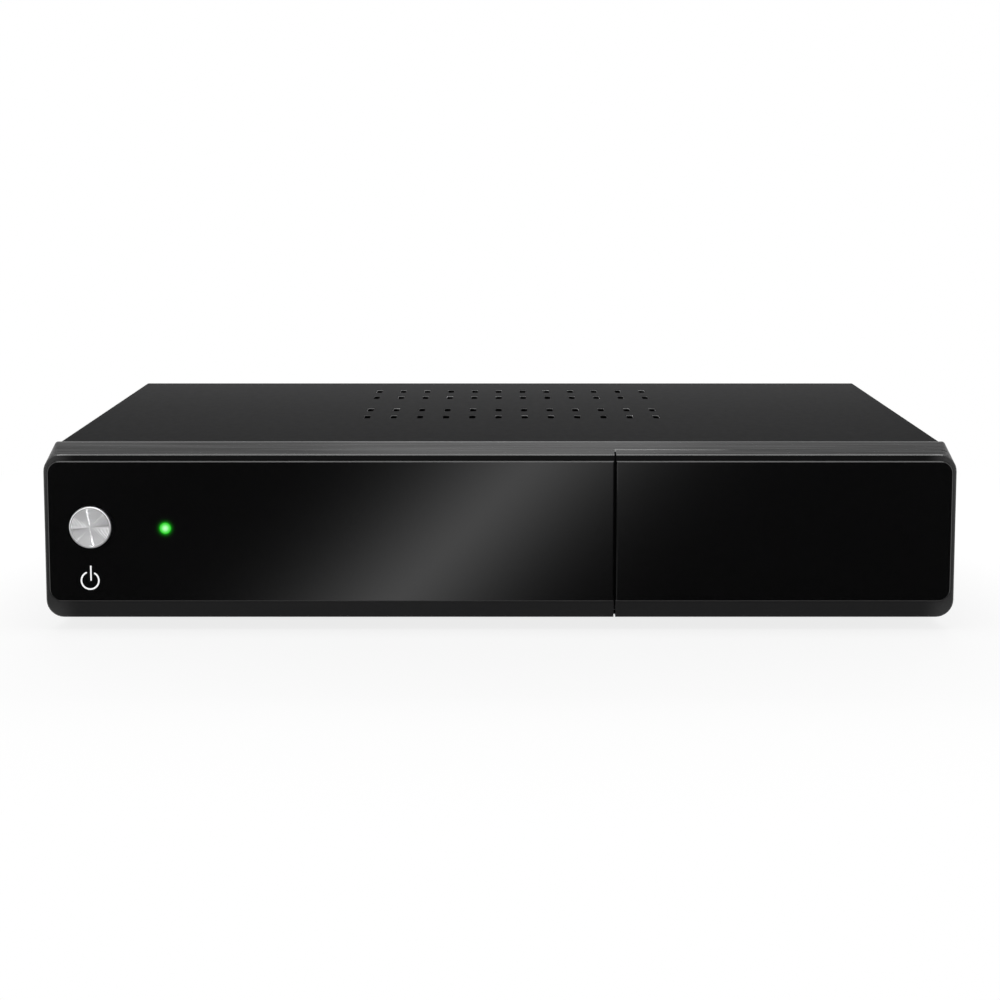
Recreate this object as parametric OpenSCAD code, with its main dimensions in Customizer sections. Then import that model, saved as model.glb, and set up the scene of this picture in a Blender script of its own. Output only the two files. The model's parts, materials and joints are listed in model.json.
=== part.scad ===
// Cable television receiver: a bent-steel case with a moulded front, a push button,
// a status light and a fold-down flap over a card bay.
// Millimetres. It stands on z = 0, faces -y and is centred on x = 0.

/* [Front] */
// Width across the front
front_w = 260; // [244:1:300]
// Height of the front face
face_h = 47; // [44:0.2:56]
// Depth of the bezel from its face to its back edge
bezel_depth = 12; // [11:0.5:16]
// Rise of the bezel's top from the face to the back edge
bezel_rise = 2.3; // [2:0.1:5]
// Inset of each side of the bezel at the back edge
bezel_taper = 1.4; // [0:0.1:1.6]
// Corner radius of the face
face_corner_r = 5; // [3:0.1:6]
// Corner radius at the top of the bezel's back edge
back_corner_r = 1; // [0.5:0.1:3]
// Chamfer round the face
face_chamfer = 0.3; // [0.2:0.1:0.9]
// Wall of the bezel moulding
bezel_wall = 2; // [1.6:0.1:2.6]
// Drop of the bezel below the base tray
bezel_drop = 1; // [0.4:0.1:1.6]
// Thickness of the ledge that the cover's front edge lies over
ledge_t = 1.4; // [1:0.1:2]
// Reach of that ledge behind the bezel
ledge_reach = 5; // [3:0.5:8]

/* [Window] */
// Thickness of the acrylic plates
window_t = 2; // [1.6:0.1:3]
// Height of the plates proud of the face
window_proud = 0.4; // [0.2:0.05:0.8]
// Bevel round each plate
window_bevel = 0.3; // [0.1:0.05:0.5]
// Outer corner radius of the plates
window_corner_r = 3.6; // [2:0.1:5]
// Rim above the window
rim_top = 1.9; // [1.6:0.1:4]
// Rim at each side of the window
rim_side = 1; // [0.9:0.1:3]
// Rim below the window
rim_bottom = 4.6; // [4.6:0.1:7]
// Clearance round a plate in its recess
window_fit = 0.1; // [0.05:0.05:0.2]
// Setback of each plate from the split
window_setback = 0.1; // [0.1:0.05:0.6]

/* [Flap] */
// Width of the flap, from the middle of the split to the right-hand end
flap_w = 97.2; // [94:0.2:120]
// Gap between the flap and the bezel at the split
flap_gap = 0.5; // [0.4:0.05:0.8]
// Gap behind the flap
seat_gap = 0.3; // [0.2:0.05:0.5]
// Length of the finger bevel that runs out along the flap's top seam
bevel_len = 38; // [20:1:60]
// Size of the finger bevel at the split
bevel_size = 0.8; // [0.3:0.1:1.2]
// Depth of the flap
flap_depth = 4; // [3.8:0.1:4.6]
// Wall of the flap behind its window
flap_skin = 1.2; // [0.8:0.1:1.3]
// Width of the flange round the flap's back
flap_flange = 1.8; // [1.4:0.1:3]
// Depth of the bezel's frame behind the flap
flap_seat_t = 3; // [2.6:0.1:4]

/* [Hinge] */
// Distance of the hinge axis behind the face
pivot_back = 2.4; // [2.2:0.1:2.6]
// Height of the hinge axis above the bezel's underside
pivot_up = 2.4; // [2.2:0.1:2.7]
// Diameter of the hinge pins
hinge_pin_d = 1.4; // [1:0.1:1.6]
// Length of a pin in each piece that it enters
hinge_grip = 5; // [4:0.5:8]
// Radial clearance of the pins in the flap
hinge_fit = 0.05; // [0.02:0.01:0.1]
// Width of the hinge lug
lug_w = 4; // [3:0.5:6]
// Wall of the lug round its pin
lug_wall = 0.6; // [0.5:0.05:0.7]
// Distance of the lug from the flap's right-hand end
lug_inset = 18; // [14:1:30]
// Clearance round the lug and under the flap as it swings
swing_gap = 0.3; // [0.2:0.05:0.4]

/* [Flap catch] */
// Diameter of the catch magnet
magnet_d = 5; // [4:0.5:6]
// Thickness of the catch magnet
magnet_t = 2.4; // [1.6:0.1:2.6]
// Diameter of the striker disc
striker_d = 6; // [4:0.5:8]
// Thickness of the striker disc
striker_t = 0.8; // [0.5:0.1:0.9]
// Radial clearance of the striker in its seat
striker_fit = 0.05; // [0.02:0.01:0.1]

/* [Card bay] */
// Depth of the bay behind the face
bay_depth = 20; // [16:0.5:26]
// Wall of the bay
bay_wall = 1.6; // [1.2:0.1:2]
// Frame between the split and the bay
bay_lip = 2; // [1.6:0.1:3]
// Height of the bay's sill above the bezel's underside
bay_sill = 6.2; // [6:0.1:7]
// Frame above the bay
bay_head = 8.4; // [8:0.1:10]
// Clearance between the bay and the tray's side
bay_fit = 0.4; // [0.2:0.1:1]
// Width of the module slot and of the card slot
slot_w = 55; // [54.5:0.1:57]
// Height of the module slot
module_slot_h = 5.6; // [5.2:0.1:6.5]
// Depth of the module slot
module_slot_len = 62; // [50:1:70]
// Wall of the module cage
cage_wall = 2; // [1.2:0.1:2.4]
// Height of the card slot
card_slot_h = 1.2; // [1:0.1:2]
// Depth of the card slot
card_slot_len = 46; // [30:1:60]
// Wall of the card reader
reader_wall = 2.2; // [1.6:0.1:3]
// Height of the bracket that carries the card reader
bracket_h = 5; // [3:0.5:7]
// Distance of the slots from the bay's left-hand side
slot_margin = 4; // [3:0.5:6]
// Clearance round what shows through a cut-out
cut_gap = 0.3; // [0.2:0.05:0.5]

/* [Power button] */
// Distance of the button from the front's left-hand end
button_from_left = 13.2; // [11.5:0.1:16]
// Height of the button above the bezel's underside
button_up = 26.2; // [22:0.1:28]
// Diameter of the button
button_d = 12; // [8:0.1:13]
// Height of the button proud of the window
button_proud = 1.4; // [0.8:0.1:2.5]
// Chamfer of the button's rim
button_rim = 0.5; // [0.2:0.1:0.8]
// Gap round the button
button_gap = 0.3; // [0.2:0.05:0.5]
// Travel of the button
button_travel = 0.6; // [0.3:0.1:0.8]
// Extra radius of the collar that keeps the button in
collar_reach = 1.4; // [1:0.1:2]
// Thickness of that collar
collar_t = 1.4; // [1:0.1:1.8]
// Diameter of the button's stem
stem_d = 4; // [3:0.1:5]
// Radial clearance of the collar in its guide
guide_fit = 0.1; // [0.05:0.01:0.1]
// Wall of the guide ring
guide_wall = 1.2; // [0.8:0.1:1.6]
// Clearance in front of the collar
stem_gap = 0.1; // [0.05:0.05:0.3]
// Length of the stem behind its collar
stem_tail = 0.8; // [0.6:0.1:1.2]
// Clearance between the stem and the switch's plunger
plunger_gap = 0.05; // [0.02:0.01:0.1]
// Distance of the cap's back edge from the back of the face wall
cap_setback = 1; // [0.9:0.1:1.4]
// Side of the square push switch
switch_w = 6; // [5:0.1:7]
// Height of the push switch's body
switch_h = 3.5; // [3:0.1:4]
// Diameter of the switch's plunger
plunger_d = 3.4; // [2.6:0.1:3.8]

/* [Status light and remote receiver] */
// Distance of the light from the front's left-hand end
light_from_left = 34.5; // [30:0.1:45]
// Height of the light above the bezel's underside
light_up = 25.8; // [18:0.1:30]
// Diameter of the light pipe
light_d = 3; // [2:0.1:4]
// Radial clearance of the light pipe
light_fit = 0.05; // [0.02:0.01:0.1]
// Length of the light-emitting chip
led_t = 1.2; // [0.8:0.1:2]
// Distance of the remote receiver from the light
ir_step = 20; // [14:1:26]
// Diameter of the remote receiver's window
ir_d = 6; // [5:0.1:7]
// Length of the remote receiver
ir_t = 6; // [5:0.1:7]

/* [Front board] */
// Width of the front board
front_board_w = 76; // [74:1:90]
// Height of the front board
front_board_h = 27; // [26:0.5:28]
// Height of the front board's lower edge above the bezel's underside
front_board_up = 12.4; // [12.4:0.1:13]
// Distance of the front board from the bezel's left-hand end
front_board_inset = 5.6; // [5:0.1:6]
// Diameter of the screw bosses
boss_d = 6; // [5:0.1:6.4]
// Distance of the front board's screws from its corners
front_screw_inset = 4; // [3.6:0.1:4.4]

/* [Case] */
// Depth of the case behind the bezel
body_depth = 183; // [176:1:220]
// Inset of the cover's sides from the ends of the front
cover_inset = 2.1; // [2:0.1:4]
// Step from the bezel down to the cover
cover_step = 0.3; // [0.1:0.05:0.6]
// Thickness of the steel sheet
sheet_t = 0.8; // [0.6:0.1:1]
// Outer radius of the bends
bend_r = 1.2; // [1.2:0.1:2.5]
// Gap between neighbouring sheets
sheet_gap = 0.2; // [0.1:0.05:0.4]
// Height of the tray's side and front flanges
flange_h = 10; // [9:0.5:10.5]
// Height of the cover's rear lip
rear_lip_h = 8; // [7:0.5:9]
// Height of the tray's side screws above its underside
side_screw_up = 5.4; // [5:0.1:6]
// Distance of the side screws from the ends of the case
side_screw_inset = 30; // [20:1:50]
// Spacing of the rear lip's screws
rear_screw_pitch = 112; // [60:1:116]

/* [Vents] */
// Number of vent columns
vent_columns = 12; // [4:1:16]
// Spacing of the columns
vent_pitch = 8.3; // [5:0.1:10]
// Width of a vent slot
vent_w = 2; // [1.2:0.1:3.5]
// Length of a vent slot
vent_len = 9; // [5:0.5:14]
// Offset of the vents to the right of the centre
vent_offset = 3.7; // [0:0.1:8]
// Distance of the first row from the cover's front edge
vent_start = 69; // [40:1:76]
// Spacing of the rows in a pair
vent_pair = 21.4; // [16:0.1:24]
// Spacing of the two pairs
vent_group = 61.6; // [52:0.1:66]
// Number of slots in each side and in the floor
low_vent_count = 11; // [4:1:12]
// Spacing of those slots
low_vent_pitch = 7; // [5:0.1:8]
// Length of those slots
low_vent_len = 18; // [10:1:22]

/* [Feet] */
// Height of the rubber feet
foot_h = 4.5; // [4:0.1:8]
// Diameter of the feet
foot_d = 14; // [10:0.5:20]
// Draft of a foot's side
foot_draft = 0.8; // [0.2:0.1:1.5]
// Distance of the feet from the tray's edges
foot_inset = 20; // [14:1:40]

/* [Screws] */
// Diameter of the screws' shanks
screw_d = 2.4; // [2:0.1:2.6]
// Diameter of the screws' heads
screw_head_d = 5; // [4.2:0.1:5.6]
// Height of the screws' heads
screw_head_h = 1.6; // [1.2:0.1:2]
// Length of the screws' shanks
screw_len = 4.6; // [4:0.1:5]
// Width of the screws' cross recess
screw_slot = 0.6; // [0.4:0.1:0.8]
// Radial clearance of a shank in its thread
thread_fit = 0.05; // [0.02:0.01:0.1]
// Radial clearance of a shank in a plain hole
shank_gap = 0.3; // [0.2:0.05:0.5]

/* [Main board] */
// Thickness of the boards
board_t = 1.6; // [1:0.1:2]
// Height of the standoffs
board_lift = 5.2; // [5:0.1:7]
// Distance of the main board from the tray's sides
board_inset = 7; // [6:0.5:9]
// Clearance of the main board behind the bay and before the rear wall
board_gap = 2.4; // [1:0.1:4]
// Distance of the board screws from the board's edges
board_screw_inset = 5; // [4.5:0.1:6]
// Width across a standoff's flats
standoff_af = 5.5; // [4.5:0.1:6]
// Side of the processor
chip_w = 27; // [20:1:32]
// Thickness of the processor
chip_t = 2; // [1:0.1:3]
// Side of the heat sink
sink_w = 38; // [34:1:42]
// Height of the heat sink
sink_h = 14; // [8:0.5:18]
// Thickness of the heat sink's base
sink_base = 2.5; // [1.5:0.1:4]
// Number of fins
fin_count = 9; // [5:1:11]
// Thickness of a fin
fin_t = 1.2; // [0.8:0.1:1.6]
// Distance of the processor to the left of the centre
chip_left = 24; // [22:1:30]
// Distance of the processor behind the main board's front edge
chip_back = 74; // [70:1:80]
// Side of the memory chips
memory_w = 11; // [8:0.5:12]
// Length of the memory chips
memory_len = 13; // [10:0.5:14]
// Thickness of the memory chips
memory_t = 1.2; // [0.8:0.1:1.6]
// Number of memory chips
memory_count = 4; // [2:1:4]
// Distance of the memory chips in front of the heat sink
memory_gap = 8; // [6:0.5:10]
// Diameter of the capacitors
cap_d = 8; // [6:0.5:10]
// Height of the capacitors
cap_h = 12; // [8:0.5:16]
// Number of capacitors
cap_count = 5; // [2:1:5]
// Space between neighbouring parts on the board
part_gap = 1; // [0.8:0.1:1.5]
// Width of the ribbon cable
ribbon_w = 14; // [8:0.5:18]
// Thickness of the ribbon cable
ribbon_t = 0.3; // [0.2:0.05:0.4]
// Height of the ribbon's connectors
ribbon_plug_h = 2.4; // [2:0.1:3]

/* [Aerial connectors] */
// Distance of the first connector from the case's left-hand end
rf_from_left = 28; // [26:1:32]
// Spacing of the two connectors
rf_pitch = 22; // [18:0.5:26]
// Outside diameter of the connectors' thread
rf_d = 9.5; // [9:0.1:10]
// Depth of that thread
rf_thread = 0.4; // [0.2:0.05:0.6]
// Length of the connectors behind the case
rf_len = 10.5; // [8:0.1:14]
// Height of the connectors above the main board
rf_up = 9; // [8.5:0.1:10]
// Diameter of the connectors' insulators
rf_core_d = 5.6; // [4:0.1:7]
// Diameter of the centre contact's hole
rf_hole_d = 1; // [0.6:0.1:1.4]
// Setback of the insulators inside the connectors
rf_setback = 1; // [0.5:0.1:2]
// Width across the nuts' flats
nut_af = 12; // [11:0.1:14]
// Thickness of the nuts
nut_t = 2; // [1.5:0.1:3]
// Depth of the tuner can
tuner_len = 48; // [30:1:60]
// Height of the tuner can
tuner_h = 16; // [15:0.5:20]
// Distance from a connector's axis to the tuner can's side
tuner_margin = 7; // [6.5:0.1:8]

/* [Rear sockets] */
// Height of the sockets' mouths proud of the rear wall
mouth_proud = 0.5; // [0.2:0.1:1]
// Thickness of the sockets' shells
shell_t = 0.6; // [0.4:0.1:0.8]
// Distance of the audio and video sockets' middle from the case's left-hand end
av_from_left = 88; // [84:1:90]
// Spacing of the audio and video sockets
av_pitch = 13; // [12:0.1:14]
// Outside diameter of their shells
av_d = 8.3; // [8:0.1:9]
// Length of their shells behind the case
av_len = 9; // [7:0.1:10]
// Height of the audio and video sockets above the main board
av_up = 8; // [7:0.1:9]
// Length of the block that carries them
av_body_len = 12; // [10:0.5:16]
// Diameter of their centre holes
av_hole_d = 3.4; // [3:0.1:4]
// Setback of their inserts inside the shells
av_setback = 0.5; // [0.2:0.1:1]
// Distance of the display socket from the case's left-hand end
hdmi_from_left = 122; // [121:1:124]
// Width of the display socket
hdmi_w = 15.2; // [14:0.1:16]
// Height of the display socket
hdmi_h = 5.8; // [5.4:0.1:6.4]
// Length of the display socket
hdmi_len = 11.5; // [10:0.5:14]
// Distance of the rear bus socket from the case's left-hand end
usb_from_left = 146; // [144:1:148]
// Width of the bus sockets
usb_w = 13.2; // [12.8:0.1:14]
// Height of the bus sockets
usb_h = 5.8; // [5.4:0.1:6.6]
// Length of the bus sockets
usb_len = 14; // [12:0.5:16]
// Thickness of the contact tongues in the bus sockets
usb_tongue_t = 1.8; // [1.4:0.1:2]
// Width of those tongues
usb_tongue_w = 11; // [10.4:0.1:11.4]
// Thickness of the contact tongue in the display socket
hdmi_tongue_t = 1.2; // [0.8:0.1:1.6]
// Width of that tongue
hdmi_tongue_w = 10.8; // [10:0.1:11.4]
// Setback of the tongues inside the mouths
tongue_setback = 2; // [1.5:0.1:4]
// Distance of the network socket from the case's left-hand end
lan_from_left = 171; // [169:1:172]
// Width of the network socket
lan_w = 16; // [15:0.1:17]
// Height of the network socket
lan_h = 13.6; // [13:0.1:15]
// Length of the network socket
lan_len = 18; // [15:0.5:22]
// Width of the network plug's mouth
lan_mouth_w = 11.8; // [11.6:0.1:12.2]
// Height of that mouth
lan_mouth_h = 6.8; // [6.6:0.1:7.2]
// Depth of that mouth
lan_mouth_len = 12; // [11:0.5:14]
// Width of the notch for the plug's latch
lan_key_w = 6.4; // [6:0.1:6.8]
// Height of that notch
lan_key_h = 2.2; // [1.6:0.1:2.6]
// Floor under that mouth
lan_floor = 2; // [1:0.1:2.2]
// Distance of the power inlet from the case's right-hand end
dc_from_right = 52; // [50:1:54]
// Diameter of the power inlet's mouth
dc_bore_d = 6.4; // [6:0.1:6.8]
// Diameter of the power inlet's centre pin
dc_pin_d = 2.1; // [1.6:0.1:2.5]
// Height of the power inlet above the main board
dc_up = 6; // [5.5:0.1:7]
// Wall round the power inlet's mouth
dc_wall = 1.5; // [1.2:0.1:2]
// Length of the power inlet's body
dc_len = 14; // [12:0.5:16]
// Depth of the power inlet's mouth
dc_bore_len = 10; // [9:0.5:11]
// Setback of the centre pin inside the mouth
dc_pin_setback = 1; // [0.5:0.1:2]

/* [Rocker switch] */
// Distance of the rocker switch from the case's right-hand end
rocker_from_right = 28; // [26:1:32]
// Height of the rocker switch above the case's underside
rocker_up = 26; // [24:0.5:28]
// Width of the rocker
rocker_w = 9.8; // [8:0.1:12]
// Radius that the rocker's ends turn on
rocker_r = 8; // [6:0.1:9]
// Tilt of the rocker to each side
rocker_tilt = 10; // [6:0.5:12]
// Depth of the rocker's hinge inside the rear wall
rocker_pivot_in = 1; // [0.5:0.1:2]
// Depth of the rocker below its hinge
rocker_keel = 3; // [2:0.1:4]
// Diameter of the rocker's hinge pins
rocker_pin_d = 2; // [1.4:0.1:2.4]
// Length of each hinge pin
rocker_pin_len = 1; // [0.6:0.1:1.2]
// Radial clearance of the hinge pins
rocker_fit = 0.05; // [0.02:0.01:0.1]
// Clearance round the rocker
rocker_gap = 0.3; // [0.2:0.05:0.5]
// Wall of the switch housing
rocker_wall = 1.6; // [1.4:0.1:2.4]
// Width of the switch's flange round its cut-out
rocker_flange = 1.4; // [1:0.1:2]
// Thickness of that flange
rocker_flange_t = 1.6; // [1:0.1:2]

/* [Hidden] */
$fn = 48;
blend_fn = 32;
layer_t = 0.1;
bite = 0.02;
over = 1;
far = 400;

half_w = front_w / 2;
split_x = half_w - flap_w;
bezel_z = foot_h - bezel_drop;
face_top = bezel_z + face_h;
bezel_top = face_top + bezel_rise;
recess_d = window_t - window_proud;
face_wall = recess_d + bezel_wall;
rear_y = bezel_depth + body_depth;
face_y = -(rear_y + rf_len - window_proud - button_proud) / 2;

cover_w = front_w - 2 * cover_inset;
cover_top = bezel_top - cover_step;
case_y = bezel_depth + sheet_gap;
cover_end = rear_y + sheet_gap + sheet_t;
tray_w = cover_w - 2 * (sheet_t + sheet_gap);
tray_in = tray_w / 2 - sheet_t;
floor_z = foot_h + sheet_t;
rear_in = rear_y - sheet_t;
rear_top = cover_top - bend_r - sheet_gap;

pivot_z = bezel_z + pivot_up;
pin_r = hinge_pin_d / 2;
lug_r = pin_r + lug_wall;
lug_x = half_w - lug_inset;
seat_y = flap_depth + seat_gap;
flap_x = split_x + flap_gap / 2;
fixed_x = split_x - flap_gap / 2;
rear_swing = norm([flap_depth - pivot_back, pivot_up]);
front_swing = norm([pivot_back, pivot_up - face_chamfer]);
swing_r = max(rear_swing, front_swing) + swing_gap;

bay_x0 = flap_x + bay_lip;
bay_x1 = tray_in - bay_fit - bay_wall;
bay_z0 = bezel_z + bay_sill;
bay_z1 = face_top - bay_head;
bay_back = bay_depth + bay_wall;
catch_x = (bay_x0 + bay_x1) / 2;
catch_z = bay_z1 + bay_head / 2;

board_z = floor_z + board_lift;
board_top = board_z + board_t;
board_y = bay_back + board_gap;
board_end = rear_in - board_gap;
board_half = tray_in - board_inset;
board_screw_x = board_half - board_screw_inset;

slots_x = bay_x0 + slot_margin + slot_w / 2;
cage_h = module_slot_h + 2 * cage_wall;
cage_w = slot_w + 2 * cage_wall;
module_slot_z = board_top + cage_h / 2;
bracket_z = board_top + cage_h;
reader_z = bracket_z + bracket_h;
reader_h = card_slot_h + 2 * reader_wall;
card_slot_z = reader_z + reader_h / 2;
front_usb_x = (slots_x + cage_w / 2 + bay_x1) / 2;

button_x = button_from_left - half_w;
button_z = bezel_z + button_up;
button_face = -window_proud - button_proud;
collar_y = face_wall + stem_gap;
collar_r = button_d / 2 + collar_reach;
light_x = light_from_left - half_w;
light_z = bezel_z + light_up;
ir_x = light_x + ir_step;
front_board_y = bezel_depth;
front_board_x = front_board_inset - half_w;
front_board_z = bezel_z + front_board_up;
switch_y = front_board_y - switch_h;
stem_end = collar_y + collar_t + stem_tail;
plunger_y = stem_end + plunger_gap;

tuner_x = rf_from_left - half_w;
rf_root_d = rf_d - 2 * rf_thread;
tuner_end = rear_in - sheet_gap;
rf_z = board_top + rf_up;
av_x = av_from_left - half_w;
av_z = board_top + av_up;
av_insert_d = av_d - 2 * shell_t;
av_seat = tuner_end - av_body_len / 2;
hdmi_x = hdmi_from_left - half_w;
usb_x = usb_from_left - half_w;
lan_x = lan_from_left - half_w;
dc_x = half_w - dc_from_right;
dc_z = board_top + dc_up;
dc_boss_d = dc_bore_d + 2 * dc_wall;
mouth_y = rear_y + mouth_proud;
chip_x = -chip_left;
chip_y = board_y + chip_back;

rocker_x = half_w - rocker_from_right;
rocker_z = foot_h + rocker_up;
rocker_y = rear_y - rocker_pivot_in;
rocker_hole_w = rocker_w + 2 * (rocker_gap + rocker_wall);
rocker_hole_h = 2 * (rocker_r + rocker_gap + rocker_wall);

// Everything is drawn with y measured back from the face, then stood in place
module stand() translate([0, face_y, 0]) children();

module block(x, y, z) {
    translate([x[0], y[0], z[0]])
        cube([x[1] - x[0], y[1] - y[0], z[1] - z[0]]);
}

module along_x(x, y, z, r, len) translate([x, y, z]) rotate([0, 90, 0]) cylinder(r = r, h = len);

module along_y(x, y, z, r, len) translate([x, y, z]) rotate([-90, 0, 0]) cylinder(r = r, h = len);

// A profile drawn in y and z, extruded along x
module side_profile(x, len) translate([x, 0, 0]) rotate([90, 0, 90]) linear_extrude(len) children();

// A profile drawn in x and z, extruded back along y
module front_profile(y, len) translate([0, y + len, 0]) rotate([90, 0, 0]) linear_extrude(len) children();

module round_rect(x, z, r) {
    translate([x[0] + r, z[0]]) square([x[1] - x[0] - 2 * r, z[1] - z[0]]);
    translate([x[0], z[0] + r]) square([x[1] - x[0], z[1] - z[0] - 2 * r]);
    for (cx = [x[0] + r, x[1] - r], cz = [z[0] + r, z[1] - r])
        translate([cx, cz]) circle(r = r);
}

module stadium(w, len) {
    square([w, len - w], center = true);
    for (s = [-1, 1])
        translate([0, s * (len - w) / 2]) circle(d = w);
}

// Pan-head screw along z, with its seat at z = 0 and a cross recess
module screw() {
    r = screw_head_d / 2;
    edge = screw_head_h / 2;
    difference() {
        rotate_extrude()
            polygon([
                [0, -screw_len], [screw_d / 2, -screw_len], [screw_d / 2, 0], [r, 0],
                [r, edge], [r - edge, screw_head_h], [0, screw_head_h]
            ]);
        for (turn = [0, 90])
            rotate(turn)
                translate([-r / 2, -screw_slot / 2, edge])
                    cube([r, screw_slot, screw_head_h]);
    }
}

// Disc that a lofted outline is hulled from
module loft_corner(x, y, z, r, len = layer_t) {
    translate([x, y, z])
        rotate([-90, 0, 0])
            cylinder(r = r, h = len, $fn = blend_fn);
}

module outline_layer(y, inset, top, low_r, top_r) {
    for (s = [-1, 1]) {
        loft_corner(s * (half_w - inset - low_r), y, bezel_z + low_r, low_r);
        loft_corner(s * (half_w - inset - top_r), y, top - top_r, top_r);
    }
}

// Outer form of the front: chamfered face, sloping top, corners that sharpen to the back
module front_form() {
    r = face_corner_r - face_chamfer;
    hull() {
        for (s = [-1, 1], z = [bezel_z + face_corner_r, face_top - face_corner_r])
            loft_corner(s * (half_w - face_corner_r), 0, z, r);
        outline_layer(face_chamfer, 0, face_top, face_corner_r, face_corner_r);
        outline_layer(bezel_depth - layer_t, bezel_taper, bezel_top, face_corner_r, back_corner_r);
    }
}

function slope_z(y) = face_top + bezel_rise * (y - face_chamfer) / (bezel_depth - face_chamfer);

// One end of the finger bevel: a sloping cut over the edge of the flap's seat
module bevel_end(x, size) {
    top = slope_z(seat_y + size);
    side_profile(x, layer_t)
        polygon([
            [seat_y - over, top - size - over], [seat_y + size + over, top + over],
            [seat_y - over, top + over]
        ]);
}

// Bevel for a finger over the flap, largest at the split and running out along the seam
module finger_bevel() {
    hull() {
        bevel_end(fixed_x, bevel_size);
        bevel_end(fixed_x + bevel_len, -bite);
    }
}

// Hollow behind a wall at y0 that follows the sloping top
module front_hollow(x, y0) {
    y1 = bezel_depth + over;
    side_profile(x[0], x[1] - x[0])
        polygon([
            [y0, bezel_z + bezel_wall], [y1, bezel_z + bezel_wall],
            [y1, slope_z(y1) - bezel_wall], [y0, slope_z(y0) - bezel_wall]
        ]);
}

module window_recess() {
    front_profile(-over, recess_d + over)
        round_rect(
            [rim_side - half_w - window_fit, half_w - rim_side + window_fit],
            [bezel_z + rim_bottom - window_fit, face_top - rim_top + window_fit],
            window_corner_r + window_fit
        );
}

// One layer of a window plate: round corners at the end, square ones at the split
module plate_layer(y, inset, end_x, cut_x) {
    s = sign(end_x);
    z = [bezel_z + rim_bottom, face_top - rim_top];
    edge_x = cut_x + s * inset;
    for (corner_z = [z[0] + window_corner_r, z[1] - window_corner_r])
        loft_corner(end_x - s * window_corner_r, y[0], corner_z, window_corner_r - inset, y[1] - y[0]);
    block([min(edge_x, edge_x + s * layer_t), max(edge_x, edge_x + s * layer_t)], y,
        [z[0] + inset, z[1] - inset]);
}

module window_plate(end_x, cut_x) {
    hull() {
        plate_layer([-window_proud, layer_t - window_proud], window_bevel, end_x, cut_x);
        plate_layer([window_bevel - window_proud, recess_d], 0, end_x, cut_x);
    }
}

function front_screw_spots() = [
    for (x = [front_screw_inset, front_board_w - front_screw_inset])
        for (z = [front_screw_inset, front_board_h - front_screw_inset])
            [front_board_x + x, front_board_z + z]
];

function bezel_screw_spots() = [
    for (x = [boss_d + bezel_wall * 2 - half_w, (split_x - half_w) / 2, fixed_x - bezel_wall - boss_d])
        [x, floor_z + flange_h / 2]
];

function side_screw_spots() = [case_y + side_screw_inset, rear_y - side_screw_inset];

// Screws beside the module cage in front, and between the bus and network sockets behind
function board_screw_spots() = [
    for (x = [-board_screw_x, slots_x - cage_w / 2 - screw_head_d, board_screw_x])
        [x, bay_depth + usb_len + screw_head_d],
    for (x = [-board_screw_x, (usb_x + lan_x + (usb_w - lan_w) / 2) / 2, board_screw_x])
        [x, board_end - board_screw_inset]
];

module boss(spot, bore_len) {
    difference() {
        along_y(spot[0], recess_d, spot[1], boss_d / 2, bezel_depth - recess_d);
        along_y(spot[0], bezel_depth - bore_len, spot[1], screw_d / 2 + thread_fit, bore_len + over);
    }
}

// Card bay tub behind the flap
module bay_tub() {
    block([bay_x0 - bay_wall, bay_x1 + bay_wall], [seat_y, bay_back],
        [bay_z0 - bay_wall, bay_z1 + bay_wall]);
}

module bay_openings() {
    block([bay_x0, bay_x1], [-over, bay_depth], [bay_z0, bay_z1]);
    block([slots_x - slot_w / 2, slots_x + slot_w / 2], [bay_depth - over, bay_back + over],
        [module_slot_z - module_slot_h / 2, module_slot_z + module_slot_h / 2]);
    block([slots_x - slot_w / 2, slots_x + slot_w / 2], [bay_depth - over, bay_back + over],
        [card_slot_z - card_slot_h / 2, card_slot_z + card_slot_h / 2]);
    block([front_usb_x - usb_w / 2 - cut_gap, front_usb_x + usb_w / 2 + cut_gap],
        [bay_depth - over, bay_back + over],
        [board_top - cut_gap, board_top + usb_h + cut_gap]);
}

module hinge_lug() {
    along_x(lug_x, pivot_back, pivot_z, lug_r, lug_w);
    block([lug_x, lug_x + lug_w], [pivot_back, seat_y + flap_seat_t - bite],
        [pivot_z - lug_r, pivot_z + lug_r]);
}

// Moulded front: window rim, sloping top band, screw bosses, button guide and card bay
module front_bezel() {
    hollow_x0 = bezel_taper + bezel_wall - half_w;
    ledge_x = cover_w / 2 - sheet_t - bend_r - flange_h;
    ledge_z = cover_top - sheet_t - sheet_gap;
    color([0.10, 0.10, 0.10]) stand() difference() {
        union() {
            difference() {
                front_form();
                front_hollow([hollow_x0, fixed_x - bezel_wall], face_wall);
                front_hollow([bay_x0, -hollow_x0], seat_y + flap_seat_t);
                block([fixed_x, far], [-over, seat_y], [0, far]);
                finger_bevel();
                along_x(fixed_x, pivot_back, pivot_z, swing_r, far);
            }
            bay_tub();
            hinge_lug();
            for (spot = front_screw_spots()) boss(spot, screw_len);
            for (spot = bezel_screw_spots()) boss(spot, screw_len);
            along_y(button_x, face_wall - over, button_z, collar_r + guide_fit + guide_wall,
                collar_t + stem_gap + button_travel + over);
            block([-ledge_x, ledge_x], [bezel_depth - bezel_wall, bezel_depth + ledge_reach],
                [ledge_z - ledge_t, ledge_z]);
        }
        window_recess();
        bay_openings();
        along_y(button_x, -over, button_z, button_d / 2 + button_gap, far);
        along_y(button_x, face_wall, button_z, collar_r + guide_fit, far);
        along_y(light_x, -over, light_z, light_d / 2 + light_fit, far);
        along_y(ir_x, -over, light_z, ir_d / 2 + cut_gap, far);
        along_y(catch_x, seat_y - over, catch_z, magnet_d / 2, magnet_t + over);
        along_x(fixed_x - hinge_grip, pivot_back, pivot_z, pin_r, far);
    }
}

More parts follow.
